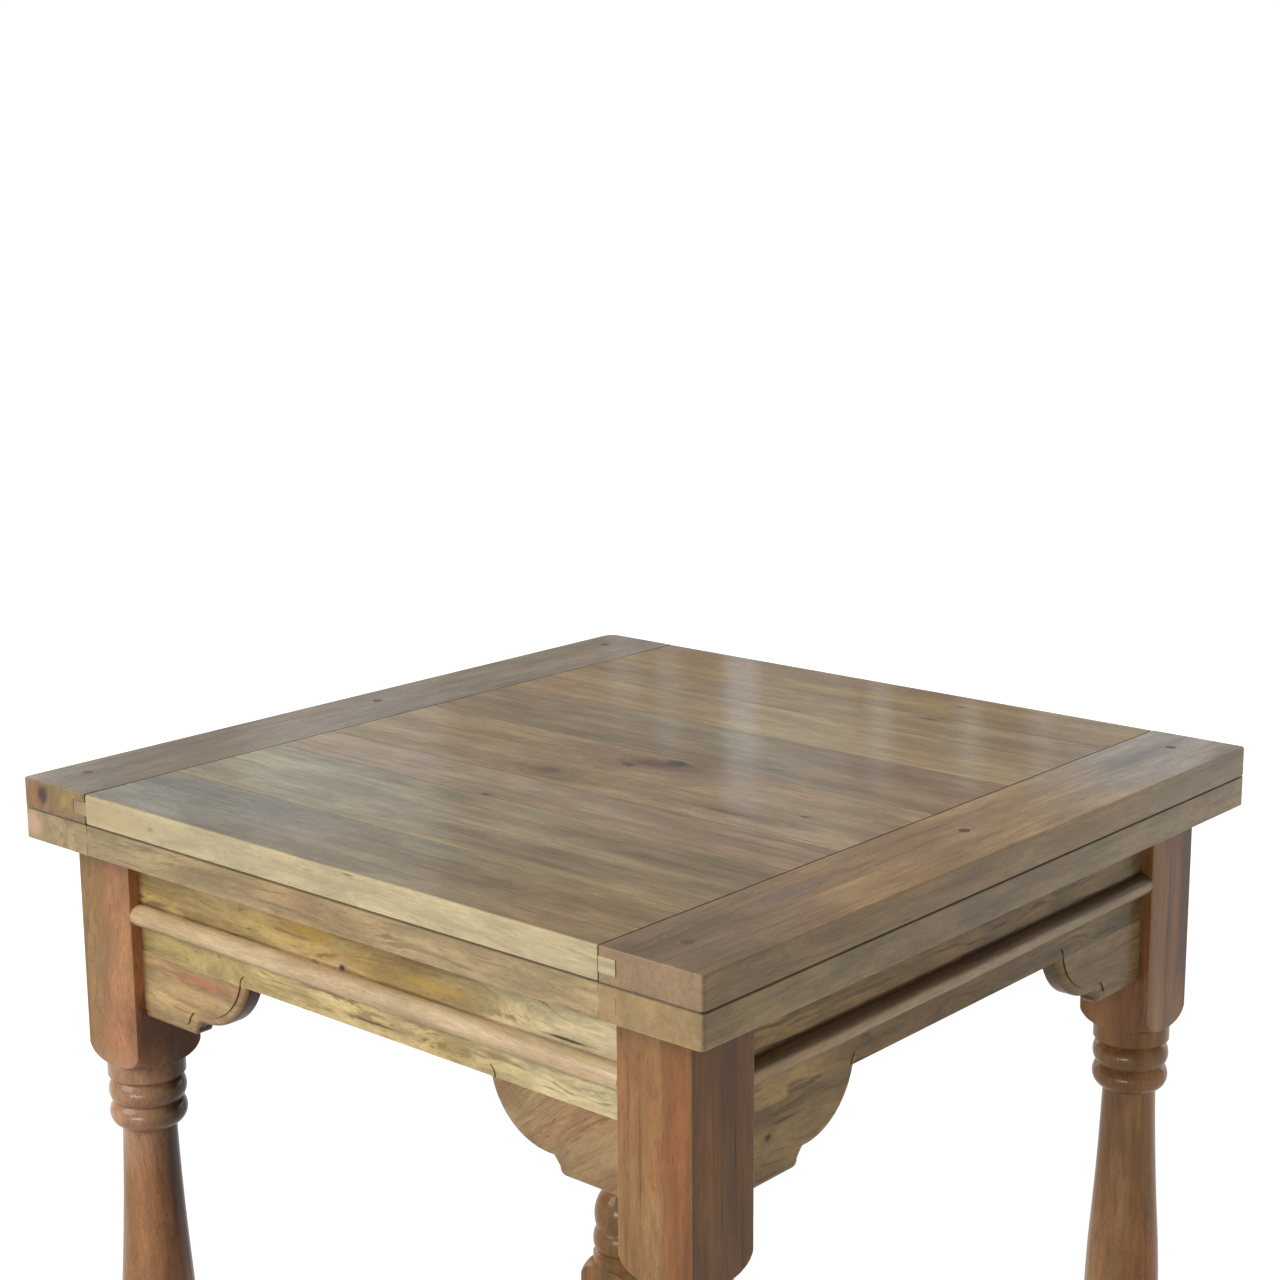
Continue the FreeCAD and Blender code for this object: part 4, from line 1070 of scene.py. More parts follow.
BEAD_SIDE = replace(
    BEAD, pale=(208, 186, 148), middle=(192, 168, 132), dark=(168, 141, 104),
    washes=(
        Wash(Axis.Y, -0.10, -0.27, (176, 144, 100), 0.5, 0.10),
        Wash(Axis.Y, 0.00, 0.26, (166, 144, 112), 0.7, 0.10),
        # Painted shade: the upper part of the side beads is darkened, under the top.
        Wash(Axis.Z, 0.6672, 0.6718, (68, 44, 20), 0.85, 0.001),
    ),
)
BRACKET = Wood(
    (194, 166, 118), (172, 142, 98), (138, 106, 70), (170, 120, 80), 0.4, (164, 132, 88),
    lines=0.45, mottle=1.4, swirl=0.06, coat=0.12, shine=0.15,
)
BRACKETS = {
    "bracket_front_a": replace(
        BRACKET, pale=(192, 165, 119), middle=(170, 143, 100),
        knots=(Knot((-0.198, -0.345, 0.6225), 3.4, 34, (178, 112, 78), 0.8, 0.3),),
    ),
    "bracket_front_b": replace(BRACKET, pale=(166, 141, 104), middle=(150, 124, 89), dark=(128, 102, 72), lines=0.4),
    "bracket_right_a": replace(
        BRACKET, pale=(188, 163, 116), middle=(160, 134, 92), dark=(112, 92, 64), stain=(120, 102, 74), stain_share=0.5,
        knots=(
            Knot((0.340, -0.256, 0.608), 3.4, 4.6, (58, 42, 30), 0.9, 0.6),
            Knot((0.340, -0.236, 0.616), 1.4, 22, (70, 54, 40), 0.8, 0.3),
        ),
    ),
    "bracket_right_b": replace(BRACKET, pale=(174, 150, 110), middle=(152, 127, 92), stain=(138, 116, 84)),
}
INNER = Wood((190, 168, 128), (168, 142, 104), (130, 104, 74), (160, 128, 90), roughness=0.6, coat=0.0)
PEG = Wood((100, 80, 62), (82, 64, 50), (60, 45, 35), (76, 58, 45), 0.4, roughness=0.5)
BRASS = Metal((232, 198, 130), (176, 140, 84), 0.32)
STEEL = Metal((196, 196, 198), (138, 134, 130), 0.32)
FELT = Felt((46, 42, 38), (70, 64, 58))


# Sub-assemblies


@dataclass
class Leaf:
    """One of the two leaves of the top: planks, a breadboard at each end, and pegs.

    Attributes:
        effects: The shared node groups.
        name: Start of its nodes' names.
        body: The body that it moves with.
        bottom: Height of its underside.
        joints: Where its planks meet, from the front edge to the back.
        planks: Finish of each plank.
        boards: Finish of the left and the right breadboard.
        hinge_side: 1 where the hinges are in its top face, -1 where they are in its underside.
        tongues: Colour of the left and the right tongue's ends, where they differ from the plank.
        end_slack: How much finer the boards' ends are eased than their joints.
        seam_shares: Where the seam's painted shade begins, is full, begins to end and has ended, as shares of the
            edge's ease.
        joint_depths: The same for the dirt at the planks' ends, in millimetres past the joint.
        tongue_depths: Where the colour of a tongue's end begins and is full, in millimetres past the joint.
        side_depths: Where the dirt along a plank's sides begins and is full, in millimetres from its edge.
        board_depths: The same for a breadboard's side at the joint.
        round_rings: Rings round a corner of the top.
        peg_tip: Angle at which a peg's crown is closed with a face.
        peg_rings: Rings over a peg's crown.
        peg_sides: Points on one of them.
    """

    effects: Effects
    name: str
    body: str
    bottom: float
    joints: tuple[float, ...]
    planks: Sequence[Wood]
    boards: tuple[Wood, Wood]
    hinge_side: int
    tongues: tuple[Colour | None, Colour | None]
    thickness: float = 27 * MM
    half_side: float = 385 * MM
    joint_left: float = -296 * MM
    joint_right: float = 291 * MM
    tongue_length: float = 16 * MM
    tongue_half: float = 6 * MM
    tongue_play: float = 0.3 * MM
    tongue_ease: float = 0.2 * MM
    groove_ease: float = 0.1 * MM
    joint_ease: float = 0.35 * MM
    joint_gap: float = 0.45 * MM
    joint_dirt: float = 0.75
    board_ease: float = 0.6 * MM
    edge_ease: float = 1.6 * MM
    end_slack: float = 0.05 * MM
    seam_shares: tuple[float, ...] = (0.85, 0.6, 0.15, 0.06)
    joint_depths: tuple[float, ...] = (-1.1, -0.3, 0.05, 0.4)
    tongue_depths: tuple[float, float] = (0.3, 0.8)
    side_depths: tuple[float, float] = (1.2, 0.3)
    board_depths: tuple[float, float] = (1.1, 0.3)
    corner_round: float = 4 * MM
    worn_round: float = 11 * MM
    round_rings: int = 9
    hinge_rows: tuple[float, ...] = (-265 * MM, -90 * MM, 90 * MM, 265 * MM)
    hinge_half: float = 25.3 * MM
    notch_run: float = 2.9 * MM
    notch_depth: float = 2.95 * MM
    notch_lip: float = 0.005 * MM
    peg_radius: float = 5 * MM
    peg_columns: tuple[float, float] = (-353 * MM, 334 * MM)
    peg_rows: tuple[float, float, float] = (-340 * MM, 4 * MM, 340 * MM)
    peg_proud: float = 0.02 * MM
    peg_crown: float = 0.05 * MM
    peg_tip: float = 0.04
    peg_rings: int = 7
    peg_sides: int = 28
    plate_proud: float = 0.05 * MM
    seed: float = 0.0
    plank_seed_step: float = 1.37
    board_seed: float = 40.0
    board_seed_step: float = 2.3
    peg_seed: float = 60.0

    def faces(self) -> tuple[float, float]:
        """Lowest and highest level of the wood, a hair back from the hinge plates where they lie."""
        low = self.bottom + (self.plate_proud if self.hinge_side < 0 else 0.0)
        high = self.bottom + self.thickness - (self.plate_proud if self.hinge_side > 0 else 0.0)
        return low, high

    def hinge_face(self) -> float:
        """Level of the face that lies on the other leaf."""
        return self.faces()[1 if self.hinge_side > 0 else 0]

    def groove(self) -> tuple[float, float]:
        """Lowest and highest level of the tongues."""
        middle = self.bottom + self.thickness / 2
        return middle - self.tongue_half, middle + self.tongue_half

    def build(self) -> None:
        """Build and dress every piece of the leaf."""
        edges = (-self.half_side, *self.joints, self.half_side)
        for index, wood in enumerate(self.planks):
            self.build_plank(index, edges[index], edges[index + 1], wood)
        for end, side, wood in zip(("left", "right"), (-1, 1), self.boards):
            self.build_board(f"{self.name}_breadboard_{end}", side, wood)
        self.build_pegs()

    def seam(self) -> Wash:
        """Painted shade in the arris along the seam between the two leaves."""
        step = -self.hinge_side * self.edge_ease
        return band(Axis.Z, self.hinge_face(), step, self.seam_shares, JOINT_DIRT_AND_SEAM_SHADE, share=0.8)

    def plank_dirt_and_seam_shade(self, front: float, back: float, first: bool, last: bool) -> list[Wash]:
        """Dirt along a plank's joints, the colour of its tongues and, on the front and back planks, the painted shade
        along the seam.

        Args:
            front: Its front edge.
            back: Its back edge.
            first: Whether it is the front plank.
            last: Whether it is the back plank.

        Returns:
            The washes.
        """
        washes = []
        for joint, step, tongue in zip((self.joint_left, self.joint_right), (-MM, MM), self.tongues):
            washes.append(band(Axis.X, joint, step, self.joint_depths, JOINT_DIRT_AND_SEAM_SHADE, self.joint_dirt))
            if tongue:
                washes.append(band(Axis.X, joint, step, self.tongue_depths, tongue, share=0.95, keep=0.3))
        for edge, step, outer in ((front, MM, first), (back, -MM, last)):
            if not outer:
                washes.append(band(Axis.Y, edge, step, self.side_depths, JOINT_DIRT_AND_SEAM_SHADE, share=0.6, ragged=0.8 * MM))
        if first or last:
            # Painted shade along the seam between the leaves.
            washes.append(self.seam())
        return washes

    def build_plank(self, index: int, front: float, back: float, wood: Wood) -> None:
        """Build one plank, with the ends of its tongues where they show in the leaf's edge.

        Args:
            index: Its place from the front edge.
            front: Its front edge.
            back: Its back edge.
            wood: Its finish.
        """
        node = f"{self.name}_plank_{index + 1}"
        first, last = index == 0, index == len(self.planks) - 1
        low, high = self.faces()
        eases = (self.edge_ease if outer else self.joint_ease for outer in (first, last))
        shells = [eased_block((self.joint_left, front, low), (self.joint_right, back, high), *eases)]
        left, right = self.joint_left - self.tongue_length, self.joint_right + self.tongue_length
        if first or last:
            under, over = self.groove()
            for start, end in ((left, self.joint_left + MM), (self.joint_right - MM, right)):
                shells.append(
                    eased_block((start, front, under), (end, back, over), self.tongue_ease, self.tongue_ease)
                )
        piece = put_in(node, Shell.joined(shells), self.body)
        wood = wood.washed(*self.plank_dirt_and_seam_shade(front, back, first, last))
        box = ((left, front, low), (right, back, high))
        seed = self.seed + index * self.plank_seed_step
        dress(piece, wood.material(node, self.effects, Grain.ALONG_X, seed, box))

    def board_outline(self, side: int) -> tuple[Array, Array]:
        """Section of a breadboard: its eased edges and the groove for the planks' tongues.

        Args:
            side: -1 for the left board, 1 for the right one.

        Returns:
            Points and outward directions, as x and z, counterclockwise.
        """
        joint = (self.joint_right if side > 0 else self.joint_left) + self.joint_gap * side
        edge = self.half_side * side
        floor = joint + (self.tongue_length + self.tongue_play) * side
        under, over = self.groove()
        low, high = self.faces()
        corners = [
            (joint, low), (edge, low), (edge, high), (joint, high),
            (joint, over), (floor, over), (floor, under), (joint, under),
        ]
        wide, fine, inner = self.edge_ease, self.board_ease, self.groove_ease
        eases = [fine, wide, wide, fine, fine, inner, inner, fine]
        if side < 0:
            corners, eases = corners[::-1], eases[::-1]
        return eased_outline(np.array(corners), np.array(eases))

    def build_board(self, node: str, side: int, wood: Wood) -> None:
        """Build one breadboard by carrying its section along y.

        Near the board's ends the section is drawn in along its outward directions, by the depth of a
        quarter round, and its outer side is drawn in by the round of the top's corner. Left boards
        have a notch cut into the outer edge at each hinge.

        Args:
            node: Its node.
            side: -1 for the left board, 1 for the right one.
            wood: Its finish.
        """
        outline, outward = self.board_outline(side)
        rounds = (self.corner_round, self.corner_round if side > 0 else self.worn_round)
        steps = 1 - np.cos(np.linspace(0.0, QUARTER, self.round_rings))
        ease = self.board_ease - self.end_slack
        stops = [np.concatenate([ease * steps, reach * steps]) for reach in rounds]
        hinges = np.array(self.hinge_rows)[:, None] + np.array([-1, 1]) * self.hinge_half
        lips = (hinges[..., None] + np.array([-1, 1]) * self.notch_lip).ravel()
        stations = np.concatenate([stops[0] - self.half_side, self.half_side - stops[1], lips])
        stations = np.unique(np.round(stations, 7))
        depth = np.minimum(stations + self.half_side, self.half_side - stations)
        inset = drawn_in(depth, ease)[:, None]
        draw = drawn_in(depth, np.where(stations < 0, *rounds))[:, None]
        is_outer = np.abs(outline[:, 0]) > self.half_side - 2 * self.edge_ease
        x = outline[None, :, 0] - inset * outward[None, :, 0] - side * draw * is_outer
        z = outline[None, :, 1] - inset * outward[None, :, 1]
        if side < 0:
            self.notch(stations, outline, x, z)
        piece = put_in(node, tube(grid(x, stations[:, None], z)), self.body)
        low, high = self.faces()
        inner = self.joint_right if side > 0 else self.joint_left
        ends = sorted((inner, self.half_side * side))
        box = ((ends[0], -self.half_side, low), (ends[1], self.half_side, high))
        lip = inner + side * self.joint_gap
        dirt = band(Axis.X, lip, side * MM, self.board_depths, JOINT_DIRT_AND_SEAM_SHADE, self.joint_dirt)
        # Joint dirt, and the painted shade along the seam.
        wood = wood.washed(dirt, self.seam())
        seed = self.seed + self.board_seed + side * self.board_seed_step
        dress(piece, wood.material(node, self.effects, Grain.ALONG_Y, seed, box))

    def notch(self, stations: Array, outline: Array, x: Array, z: Array) -> None:
        """Cut the hinge notches into a left board's outer edge.

        The points of the edge's round are laid along the notch's two sides, by their place in the
        round, wherever a station lies within a hinge.

        Args:
            stations: Places along y.
            outline: The plain section.
            x: x by station and point, changed in place.
            z: z by station and point, changed in place.
        """
        face, reach = self.hinge_face(), 1.01 * self.edge_ease
        near = (outline[:, 0] < reach - self.half_side) & (np.abs(outline[:, 1] - face) < reach)
        spots = np.flatnonzero(near)
        place = np.linspace(0.0, 1.0, len(spots))
        if abs(outline[spots[0], 1] - face) < abs(outline[spots[-1], 1] - face):
            place = place[::-1]
        inner, floor = self.notch_run - self.half_side, face - self.hinge_side * self.notch_depth
        at_hinge = np.any(np.abs(stations[:, None] - np.array(self.hinge_rows)) < self.hinge_half, axis=1)
        cells = np.ix_(at_hinge, spots)
        x[cells] = np.interp(place, (0.0, 0.5, 1.0), (-self.half_side, inner, inner))
        z[cells] = np.interp(place, (0.0, 0.5, 1.0), (floor, floor, face))

    def build_pegs(self) -> None:
        """Build the pegs: rods with slightly crowned ends, a hair proud of the boards.

        A peg's section is a quarter ellipse at each end, so that its radius is R sin t and its
        height is the rim plus the crown times cos t. It stays clear of the felt when the top slides.
        """
        node = f"{self.name}_pegs"
        low, high = self.faces()
        sweep = np.linspace(self.peg_tip, QUARTER, self.peg_rings)
        crown = self.peg_proud + self.peg_crown * np.cos(sweep)
        radius = self.peg_radius * np.sin(np.concatenate([sweep, sweep[::-1]]))[:, None]
        level = np.concatenate([low - crown, high + crown[::-1]])[:, None]
        turn = np.linspace(0.0, 2 * math.pi, self.peg_sides, endpoint=False)
        shells = [
            tube(grid(x + radius * np.cos(turn), y + radius * np.sin(turn), level))
            for x in self.peg_columns
            for y in self.peg_rows
        ]
        piece = put_in(node, Shell.joined(shells), self.body, crease=60.0)
        no_edges = ((-1.0, -1.0, -1.0), (1.0, 1.0, 1.0))
        dress(piece, PEG.material(node, self.effects, Grain.ALONG_Z, self.seed + self.peg_seed, no_edges))


@dataclass
class Legs:
    """The four legs: square blocks with a turned shaft between them.

    Attributes:
        effects: The shared node groups.
        columns: Points on each side of a ring.
        arc_rings: Rings along an arc of the turning.
        run_rings: Rings along a straight run of it.
        foot_rings: Rings along the foot.
        block_rings: Rings along the top block.
        lathe_reach: A radius past the stock, where the leg stays square.
        turning: Radius and height of each point of the lathe's outline in millimetres, from the top
            block down to the foot, with the bend of the arc that leads to it.
    """

    effects: Effects
    half_width: float = 35 * MM
    height: float = 724.8 * MM
    foot_top: float = 50.5 * MM
    block_bottom: float = 541.5 * MM
    foot_chamfer: float = 2 * MM
    arris: float = 1.3 * MM
    centre: tuple[float, float] = (316 * MM, 321 * MM)
    columns: int = 48
    arc_rings: int = 18
    run_rings: int = 4
    foot_rings: int = 6
    block_rings: int = 10
    lathe_reach: float = 60 * MM
    seed: float = 3.1
    seed_step: float = 2.17
    turning: tuple[tuple[float, float, float], ...] = (
        (49.5, 541.0, 0.0), (34.7, 520.0, -20.0), (34.7, 505.5, 0.0), (30.4, 502.0, 0.0), (30.4, 480.0, -16.5),
        (24.2, 456.0, -14.5), (31.2, 320.0, 2890.0), (34.7, 227.0, -1237.0), (26.5, 189.5, -90.0), (22.4, 170.8, 45.0),
        (22.4, 158.0, 0.0), (30.4, 114.0, -44.9), (30.4, 85.0, -27.0), (34.7, 82.0, 0.0), (34.7, 71.5, 0.0),
        (49.5, 51.0, -20.0),
    )

    def lathe_outline(self) -> Array:
        """Radius and height of every ring, one row each, from the foot up."""
        pairs = zip(self.turning, self.turning[1:])
        runs = [arc(start[:2], end[:2], end[2], self.arc_rings if end[2] else self.run_rings) for start, end in pairs]
        shaft = np.concatenate([*runs, np.array([self.turning[-1][:2]])])[::-1] * MM
        foot = np.linspace(self.foot_chamfer, self.foot_top, self.foot_rings)
        block = np.linspace(self.block_bottom, self.height, self.block_rings)
        foot, block = (np.column_stack([np.full(len(level), self.lathe_reach), level]) for level in (foot, block))
        return np.concatenate([foot, shaft, block])

    def ring_turns(self) -> Array:
        """Angles of a ring's points, closer together at the arrises.

        Within a quarter, the angle is 45 degrees times the sine of a place that runs evenly from
        minus to plus a quarter turn.

        Returns:
            The angles.
        """
        place = np.linspace(-QUARTER, QUARTER, self.columns, endpoint=False)
        return (np.arange(4)[:, None] * QUARTER + np.sin(place) * (math.pi / 4)).ravel()

    def square(self, turn: Array, half: float) -> Array:
        """Distance from the middle to the side of a square with rounded arrises.

        Along a flat it is half / cos; round an arris it is the far crossing with the arris circle.

        Args:
            turn: Angles.
            half: Half the square's width.

        Returns:
            The distances.
        """
        folded = np.abs((turn + math.pi / 4) % QUARTER - math.pi / 4)
        flat = half / np.cos(folded)
        middle = half - self.arris
        along = middle * (np.cos(folded) + np.sin(folded))
        across = middle * (np.cos(folded) - np.sin(folded))
        circle = along + np.sqrt(np.maximum(self.arris**2 - across**2, 0.0))
        in_round = np.tan(folded) * half > middle
        return np.where(in_round, np.minimum(circle, flat), flat)

    def build(self) -> None:
        """Build and dress the four legs.

        A ring's radius is the smaller of the lathe's radius at its height and the distance to the
        side of the square stock at its angle.
        """
        outline, turn = self.lathe_outline(), self.ring_turns()
        radius = np.minimum(outline[:, :1], self.square(turn, self.half_width)[None, :])
        sole = self.square(turn, self.half_width - self.foot_chamfer)
        radius = np.concatenate([sole[None, :], radius])
        level = np.concatenate([[0.0], outline[:, 1]])[:, None]
        half = self.half_width
        corners = {"front_right": (1, -1), "back_right": (1, 1), "back_left": (-1, 1), "front_left": (-1, -1)}
        for index, (corner, (way_x, way_y)) in enumerate(corners.items()):
            node = f"leg_{corner}"
            x, y = way_x * self.centre[0], way_y * self.centre[1]
            rings = grid(x + radius * np.cos(turn), y + radius * np.sin(turn), level)
            piece = put_in(node, tube(rings), "base", crease=50.0)
            box = ((x - half, y - half, 0.0), (x + half, y + half, self.height))
            seed = self.seed + index * self.seed_step
            dress(piece, LEGS[corner].material(node, self.effects, Grain.ALONG_Z, seed, box))


@dataclass
class Skirt:
    """Aprons, beads and brackets round the frame.

    Attributes:
        effects: The shared node groups.
        nodes: The CAD nodes by name.
        bead_waves: How fast a bead's long and short swells follow each other, in radians per metre.
        bead_points: Points round a bead's nose.
        bead_rings: Rings along a bead.
        step_depths: Where the painted shade in a bracket's step begins, is full, begins to end and has ended, in
            millimetres.
        cut_depths: Where the painted shade on a bracket's cut edge begins and is full, in millimetres.
        apron_seeds: Seed of the first apron and the step to the next side's.
        bracket_seeds: The same for the brackets, and the step to a side's second one.
        bead_seeds: The same for the beads.
    """

    effects: Effects
    nodes: dict[str, Piece]
    recess: float = 11 * MM
    let_in: float = 3 * MM
    bead_half: float = 9.5 * MM
    bead_middle: float = 666 * MM
    bead_swell: float = 0.18 * MM
    bead_waves: tuple[float, float] = (31.0, 83.0)
    bead_points: int = 25
    bead_rings: int = 61
    frame_half: tuple[float, float] = (351 * MM, 356 * MM)
    leg_width: float = 70 * MM
    step_depths: tuple[float, ...] = (0.08, 0.25, 1.25, 1.39)
    cut_depths: tuple[float, float] = (3.8, 5.4)
    apron_seeds: tuple[float, float] = (11.3, 1.9)
    bracket_seeds: tuple[float, float, float] = (21.7, 2.9, 1.3)
    bead_seeds: tuple[float, float] = (31.1, 1.7)

    def build(self) -> None:
        """Build the beads and dress the aprons and brackets."""
        for index, side in enumerate(Side):
            apron = f"apron_{side.label}"
            wood = APRON_FRONT if side.axis is Axis.Y else APRON_SIDE
            seed, step = self.apron_seeds
            finish = wood.material(apron, self.effects, side.grain, seed + index * step, corners_of(apron))
            dress(self.nodes[apron], finish)
            self.build_bead(side, index)
            seed, step, second = self.bracket_seeds
            for hand, offset in (("a", 0.0), ("b", second)):
                self.dress_bracket(f"bracket_{side.label}_{hand}", side, seed + index * step + offset)

    def face(self, side: Side) -> float:
        """Distance from the table's middle to the outer face of a side's apron."""
        return self.frame_half[side.axis.value] - self.recess

    def dress_bracket(self, name: str, side: Side, seed: float) -> None:
        """Dress one bracket, with painted shade in the step and on the cut edge of its scallop.

        Args:
            name: The bracket's node.
            side: The side of the frame.
            seed: A number that tells its figure from its neighbours'.
        """
        face, step = side.way * self.face(side), -side.way * MM
        # Painted shade: a dark line in the step round the face, and a darker cut edge on the scallop, stronger on the
        # front and back brackets.
        cut_share = 0.92 if side.axis is Axis.Y else 0.45
        wood = BRACKETS.get(name, BRACKET).washed(
            band(side.axis, face, step, self.step_depths, STEP_SHADE, share=0.85, keep=0.5),
            band(side.axis, face, step, self.cut_depths, CUT_EDGE_SHADE, cut_share, keep=0.6),
        )
        grain = Grain.SLANTED_X if name == "bracket_front_b" else side.grain
        dress(self.nodes[name], wood.material(name, self.effects, grain, seed, corners_of(name)))

    def build_bead(self, side: Side, index: int) -> None:
        """Build one bead by carrying a half-round section along its apron.

        The section is a half circle on short straight sides; along the way its nose swells and
        shrinks by a fraction of a millimetre, as a bead shaped with a hand plane does.

        Args:
            side: The side of the frame.
            index: The side's place in the order.
        """
        along_x = side.axis is Axis.Y
        run = self.frame_half[0 if along_x else 1] - self.leg_width
        sweep = np.linspace(QUARTER, -QUARTER, self.bead_points)
        stilt = self.recess - self.bead_half
        out = np.concatenate([[-self.let_in], stilt + self.bead_half * np.cos(sweep), [-self.let_in]])
        rise = np.concatenate([[self.bead_half], self.bead_half * np.sin(sweep), [-self.bead_half]])
        place = np.linspace(-run, run, self.bead_rings)[:, None]
        nose = np.maximum(out, 0.0) / self.recess
        slow, fast = self.bead_waves
        swell = self.bead_swell * (np.sin(place * slow + index) + 0.6 * np.sin(place * fast + 2 * index) - 1.0)
        across = side.way * (self.face(side) + out + swell * nose)
        level = self.bead_middle + rise
        rings = grid(place, across, level) if along_x else grid(across, place, level)
        node = f"bead_{side.label}"
        piece = put_in(node, tube(rings), "base", crease=40.0)
        wood = BEAD if along_x else BEAD_SIDE
        seed, step = self.bead_seeds
        dress(piece, wood.material(node, self.effects, side.grain, seed + index * step, corners_of(node)))


@dataclass
class Inside:
    """Everything that the closed table hides: corner blocks, slide, felt, hinges and screws.

    Attributes:
        effects: The shared node groups.
        nodes: The CAD nodes by name.
    """

    effects: Effects
    nodes: dict[str, Piece]
    upright: str = "corner_block_"
    lengthwise: tuple[str, ...] = ("guide_rail_", "slider_")
    brass: tuple[str, ...] = ("lower_hinge_plates", "upper_hinge_plates", "lower_hinge_screws", "upper_hinge_screws")
    steel: tuple[str, ...] = ("hinge_pins", "corner_block_screws", "guide_rail_screws", "slider_screws")
    seed: float = 51.3
    seed_step: float = 0.7

    def dress(self) -> None:
        """Dress the CAD nodes."""
        brass, steel = BRASS.material("hinge_brass", self.effects), STEEL.material("screw_steel", self.effects)
        shared = {name: brass for name in self.brass} | {name: steel for name in self.steel}
        shared["glide_strips"] = FELT.material("glide_felt")
        for index, (name, node) in enumerate(sorted(self.nodes.items())):
            if name in shared:
                dress(node, shared[name])
            elif name.startswith((self.upright, *self.lengthwise)):
                grain = Grain.ALONG_Z if name.startswith(self.upright) else Grain.ALONG_X
                seed = self.seed + index * self.seed_step
                dress(node, INNER.material(name, self.effects, grain, seed, corners_of(name)))


# Studio


@dataclass(frozen=True)
class Softbox:
    """A rectangular lamp.

    Attributes:
        name: Lamp name.
        place: Where it stands.
        target: What it points at.
        size: Width and height.
        power: Watts.
        tint: Colour of its light.
        gloss_only: Whether it shows in reflections alone.
    """

    name: str
    place: Point
    target: Point
    size: tuple[float, float]
    power: float
    tint: Point = (1.0, 1.0, 1.0)
    gloss_only: bool = False

    def build(self) -> None:
        """Add the lamp to the scene, out of the camera's sight."""
        lamp = bpy.data.lights.new(self.name, "AREA")
        lamp.shape = "RECTANGLE"
        lamp.size, lamp.size_y = self.size
        lamp.energy = self.power
        lamp.color = self.tint
        holder = bpy.data.objects.new(self.name, lamp)
        holder.location = self.place
        holder.rotation_euler = (Vector(self.target) - Vector(self.place)).to_track_quat("-Z", "Y").to_euler()
        holder.visible_camera = False
        holder.visible_diffuse = not self.gloss_only
        bpy.context.scene.collection.objects.link(holder)


MIDDLE = (0.0, 0.0, 0.68)
LAMPS = (
    Softbox("key", (-1.3, -3.4, 2.5), MIDDLE, (2.4, 2.0), 128.0),
    Softbox("fill", (3.4, -0.6, 1.7), MIDDLE, (2.0, 2.0), 4.0, (1.0, 0.92, 0.80)),
    Softbox("left", (-3.7, 0.7, 1.5), MIDDLE, (2.0, 1.6), 26.0),
    Softbox("back", (0.7, 3.7, 1.5), MIDDLE, (2.0, 1.6), 26.0),
    Softbox("overhead", (0.1, 0.2, 3.4), MIDDLE, (2.6, 2.6), 6.0),
    Softbox("glint", (0.8, -4.0, 0.37), (0.0, 0.0, 0.37), (2.4, 0.66), 95.0, gloss_only=True),
)


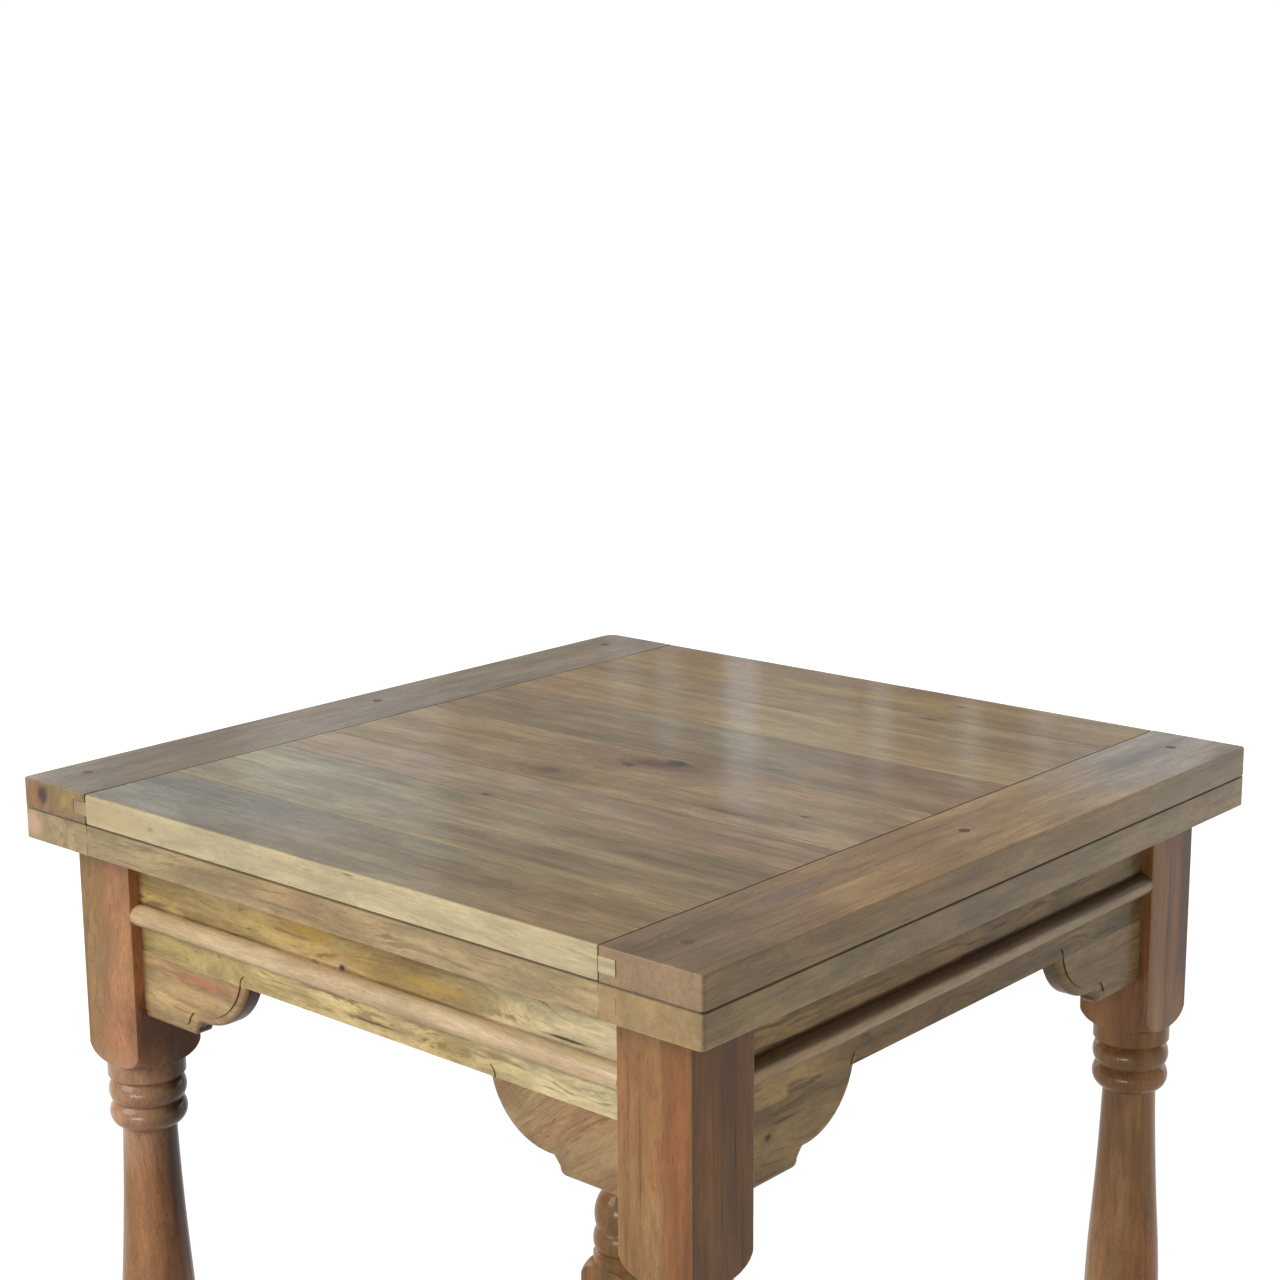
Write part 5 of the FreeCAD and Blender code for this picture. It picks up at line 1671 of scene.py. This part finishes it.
@dataclass
class Studio:
    """Floor, lamps, world and camera.

    Attributes:
        yaw: Turn of the camera about z, in degrees.
        pitch: How far it looks down, in degrees.
        roll: How far it leans, in degrees.
        place: Where it stands.
        lens: Its focal length, in millimetres.
        sensor: Width of its sensor, in millimetres.
        window_distance: How far ahead of the camera the windows stand that the top reflects.
        window_aim: What a window straight ahead points at.
        window_turn: How far a window's aim moves with its offset.
        windows: Offset to the right, width, lowest and highest level, and watts of each window.
    """

    yaw: float = 41.144
    pitch: float = 12.222
    roll: float = -0.380
    place: Point = (1.3223, -1.5189, 1.3265)
    lens: float = 65.97
    sensor: float = 36.0
    floor_half: float = 40.0
    floor_tones: tuple[Tone, Tone] = ((0.30, 0.30, 0.30, 1.0), (0.34, 0.34, 0.34, 1.0))
    sky: Tone = (0.33, 0.31, 0.29, 1.0)
    window_tint: Point = (0.72, 0.86, 1.0)
    window_distance: float = 8.0
    window_aim: Point = (0.0, 0.1, 0.78)
    window_turn: float = 0.5
    windows: tuple[tuple[float, ...], ...] = (
        (-1.05, 0.70, 2.10, 3.10, 1.6), (-0.06, 0.10, 1.80, 2.20, 0.12), (0.10, 0.07, 1.80, 2.40, 0.12),
        (0.36, 0.12, 1.80, 2.58, 0.58), (0.60, 0.30, 1.85, 2.70, 0.50), (0.84, 0.07, 1.80, 2.50, 0.22),
        (1.16, 0.07, 1.80, 2.50, 0.22), (1.42, 0.10, 1.80, 2.50, 0.28), (1.75, 0.50, 1.90, 2.60, 1.10),
    )

    def build(self) -> None:
        """Build the studio."""
        self.build_floor()
        self.build_world()
        for lamp in LAMPS:
            lamp.build()
        self.build_windows()
        self.build_camera()
        bpy.context.scene.view_settings.view_transform = "Standard"

    def build_floor(self) -> None:
        """Build a wide pale floor that looks white and keeps the table's shadow."""
        half = self.floor_half
        corners = [(-half, -half, 0.0), (half, -half, 0.0), (half, half, 0.0), (-half, half, 0.0)]
        mesh = bpy.data.meshes.new("floor")
        mesh.from_pydata(corners, [], [(0, 1, 2, 3)])
        floor = bpy.data.objects.new("floor", mesh)
        bpy.context.scene.collection.objects.link(floor)
        graph = Finish("pale_floor")
        speckle = graph.noise(graph.position, (9.0, 9.0, 9.0), 4.0)
        path = graph.outputs(graph.add("ShaderNodeLightPath"))
        mirrored = graph.math("MAXIMUM", path["Is Glossy Ray"], path["Is Transmission Ray"])
        far = graph.rise(graph.vector("LENGTH", graph.position), 1.0, 3.0, 0.82, 1.0)
        graph.shade(
            Base_Color=graph.mix(speckle, *self.floor_tones), Roughness=0.9,
            Emission_Color=WHITE, Emission_Strength=graph.math("MAXIMUM", path["Is Camera Ray"], mirrored) * far,
        )
        dress(floor, graph.material)

    def build_world(self) -> None:
        """Build a world that is white at the horizon and a soft grey above."""
        world = bpy.data.worlds.new("studio")
        bpy.context.scene.world = world
        world.use_nodes = True
        graph = Graph(world.node_tree)
        height = graph.split(graph.outputs(graph.add("ShaderNodeTexCoord"))["Generated"])[2]
        colour = graph.mix(graph.rise(height, 0.08, 0.17), WHITE, self.sky)
        graph.put(world.node_tree.nodes["Background"].inputs["Color"], colour)

    def axes(self) -> tuple[Vector, Vector, Vector]:
        """Give the camera's right, up and backward directions."""
        yaw, pitch, roll = (math.radians(angle) for angle in (self.yaw, self.pitch, self.roll))
        back = Vector((math.sin(yaw) * math.cos(pitch), -math.cos(yaw) * math.cos(pitch), math.sin(pitch)))
        right = Vector((math.cos(yaw), math.sin(yaw), 0.0))
        up = back.cross(right)
        return math.cos(roll) * right + math.sin(roll) * up, math.cos(roll) * up - math.sin(roll) * right, back

    def build_windows(self) -> None:
        """Build the windows that the top reflects, each turned towards the top."""
        right, _, back = self.axes()
        ahead = Vector((-back.x, -back.y, 0.0)).normalized()
        level_right = Vector((right.x, right.y, 0.0))
        for index, (offset, width, low, high, power) in enumerate(self.windows):
            spot = Vector(self.place) + ahead * self.window_distance + level_right * offset
            spot.z = (low + high) / 2
            aim = Vector(self.window_aim) + level_right * offset * self.window_turn
            size = (width, high - low)
            Softbox(f"window_{index}", tuple(spot), tuple(aim), size, power, self.window_tint).build()

    def build_camera(self) -> None:
        """Build the camera at the photograph's place, for a square frame."""
        camera = bpy.data.cameras.new("camera")
        camera.lens = self.lens
        camera.sensor_width = self.sensor
        camera.sensor_fit = "HORIZONTAL"
        holder = bpy.data.objects.new("camera", camera)
        turn = Matrix(self.axes()).transposed().to_4x4()
        holder.matrix_world = Matrix.Translation(self.place) @ turn
        bpy.context.scene.collection.objects.link(holder)
        bpy.context.scene.camera = holder


def main() -> None:
    """Build the table's pieces and the studio."""
    logging.basicConfig(level=logging.INFO, format="%(message)s")
    for item in list(bpy.data.objects):
        bpy.data.objects.remove(item)
    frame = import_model()
    effects = Effects()
    Legs(effects).build()
    Skirt(effects, frame["nodes"]).build()
    Inside(effects, frame["nodes"]).dress()
    Leaf(
        effects, "lower", "lower_leaf", 725.6 * MM, tuple(y * MM for y in (-262, -140, -32, 90, 238)),
        LOWER_PLANKS, (LOWER_BOARD_LEFT, LOWER_BOARD_RIGHT), 1, ((152, 130, 92), (164, 136, 94)),
        joint_ease=0.2 * MM, joint_gap=0.05 * MM, joint_dirt=0.1, board_ease=0.2 * MM, edge_ease=1.0 * MM, seed=71.0,
    ).build()
    Leaf(
        effects, "upper", "upper_leaf", 753.0 * MM, tuple(y * MM for y in (-289, -169, -105, 26, 137, 231, 299)),
        TOP_PLANKS, (UPPER_BOARD_LEFT, UPPER_BOARD_RIGHT), -1, ((122, 98, 56), None), seed=5.0,
    ).build()
    Studio().build()


if __name__ == "__main__":
    main()
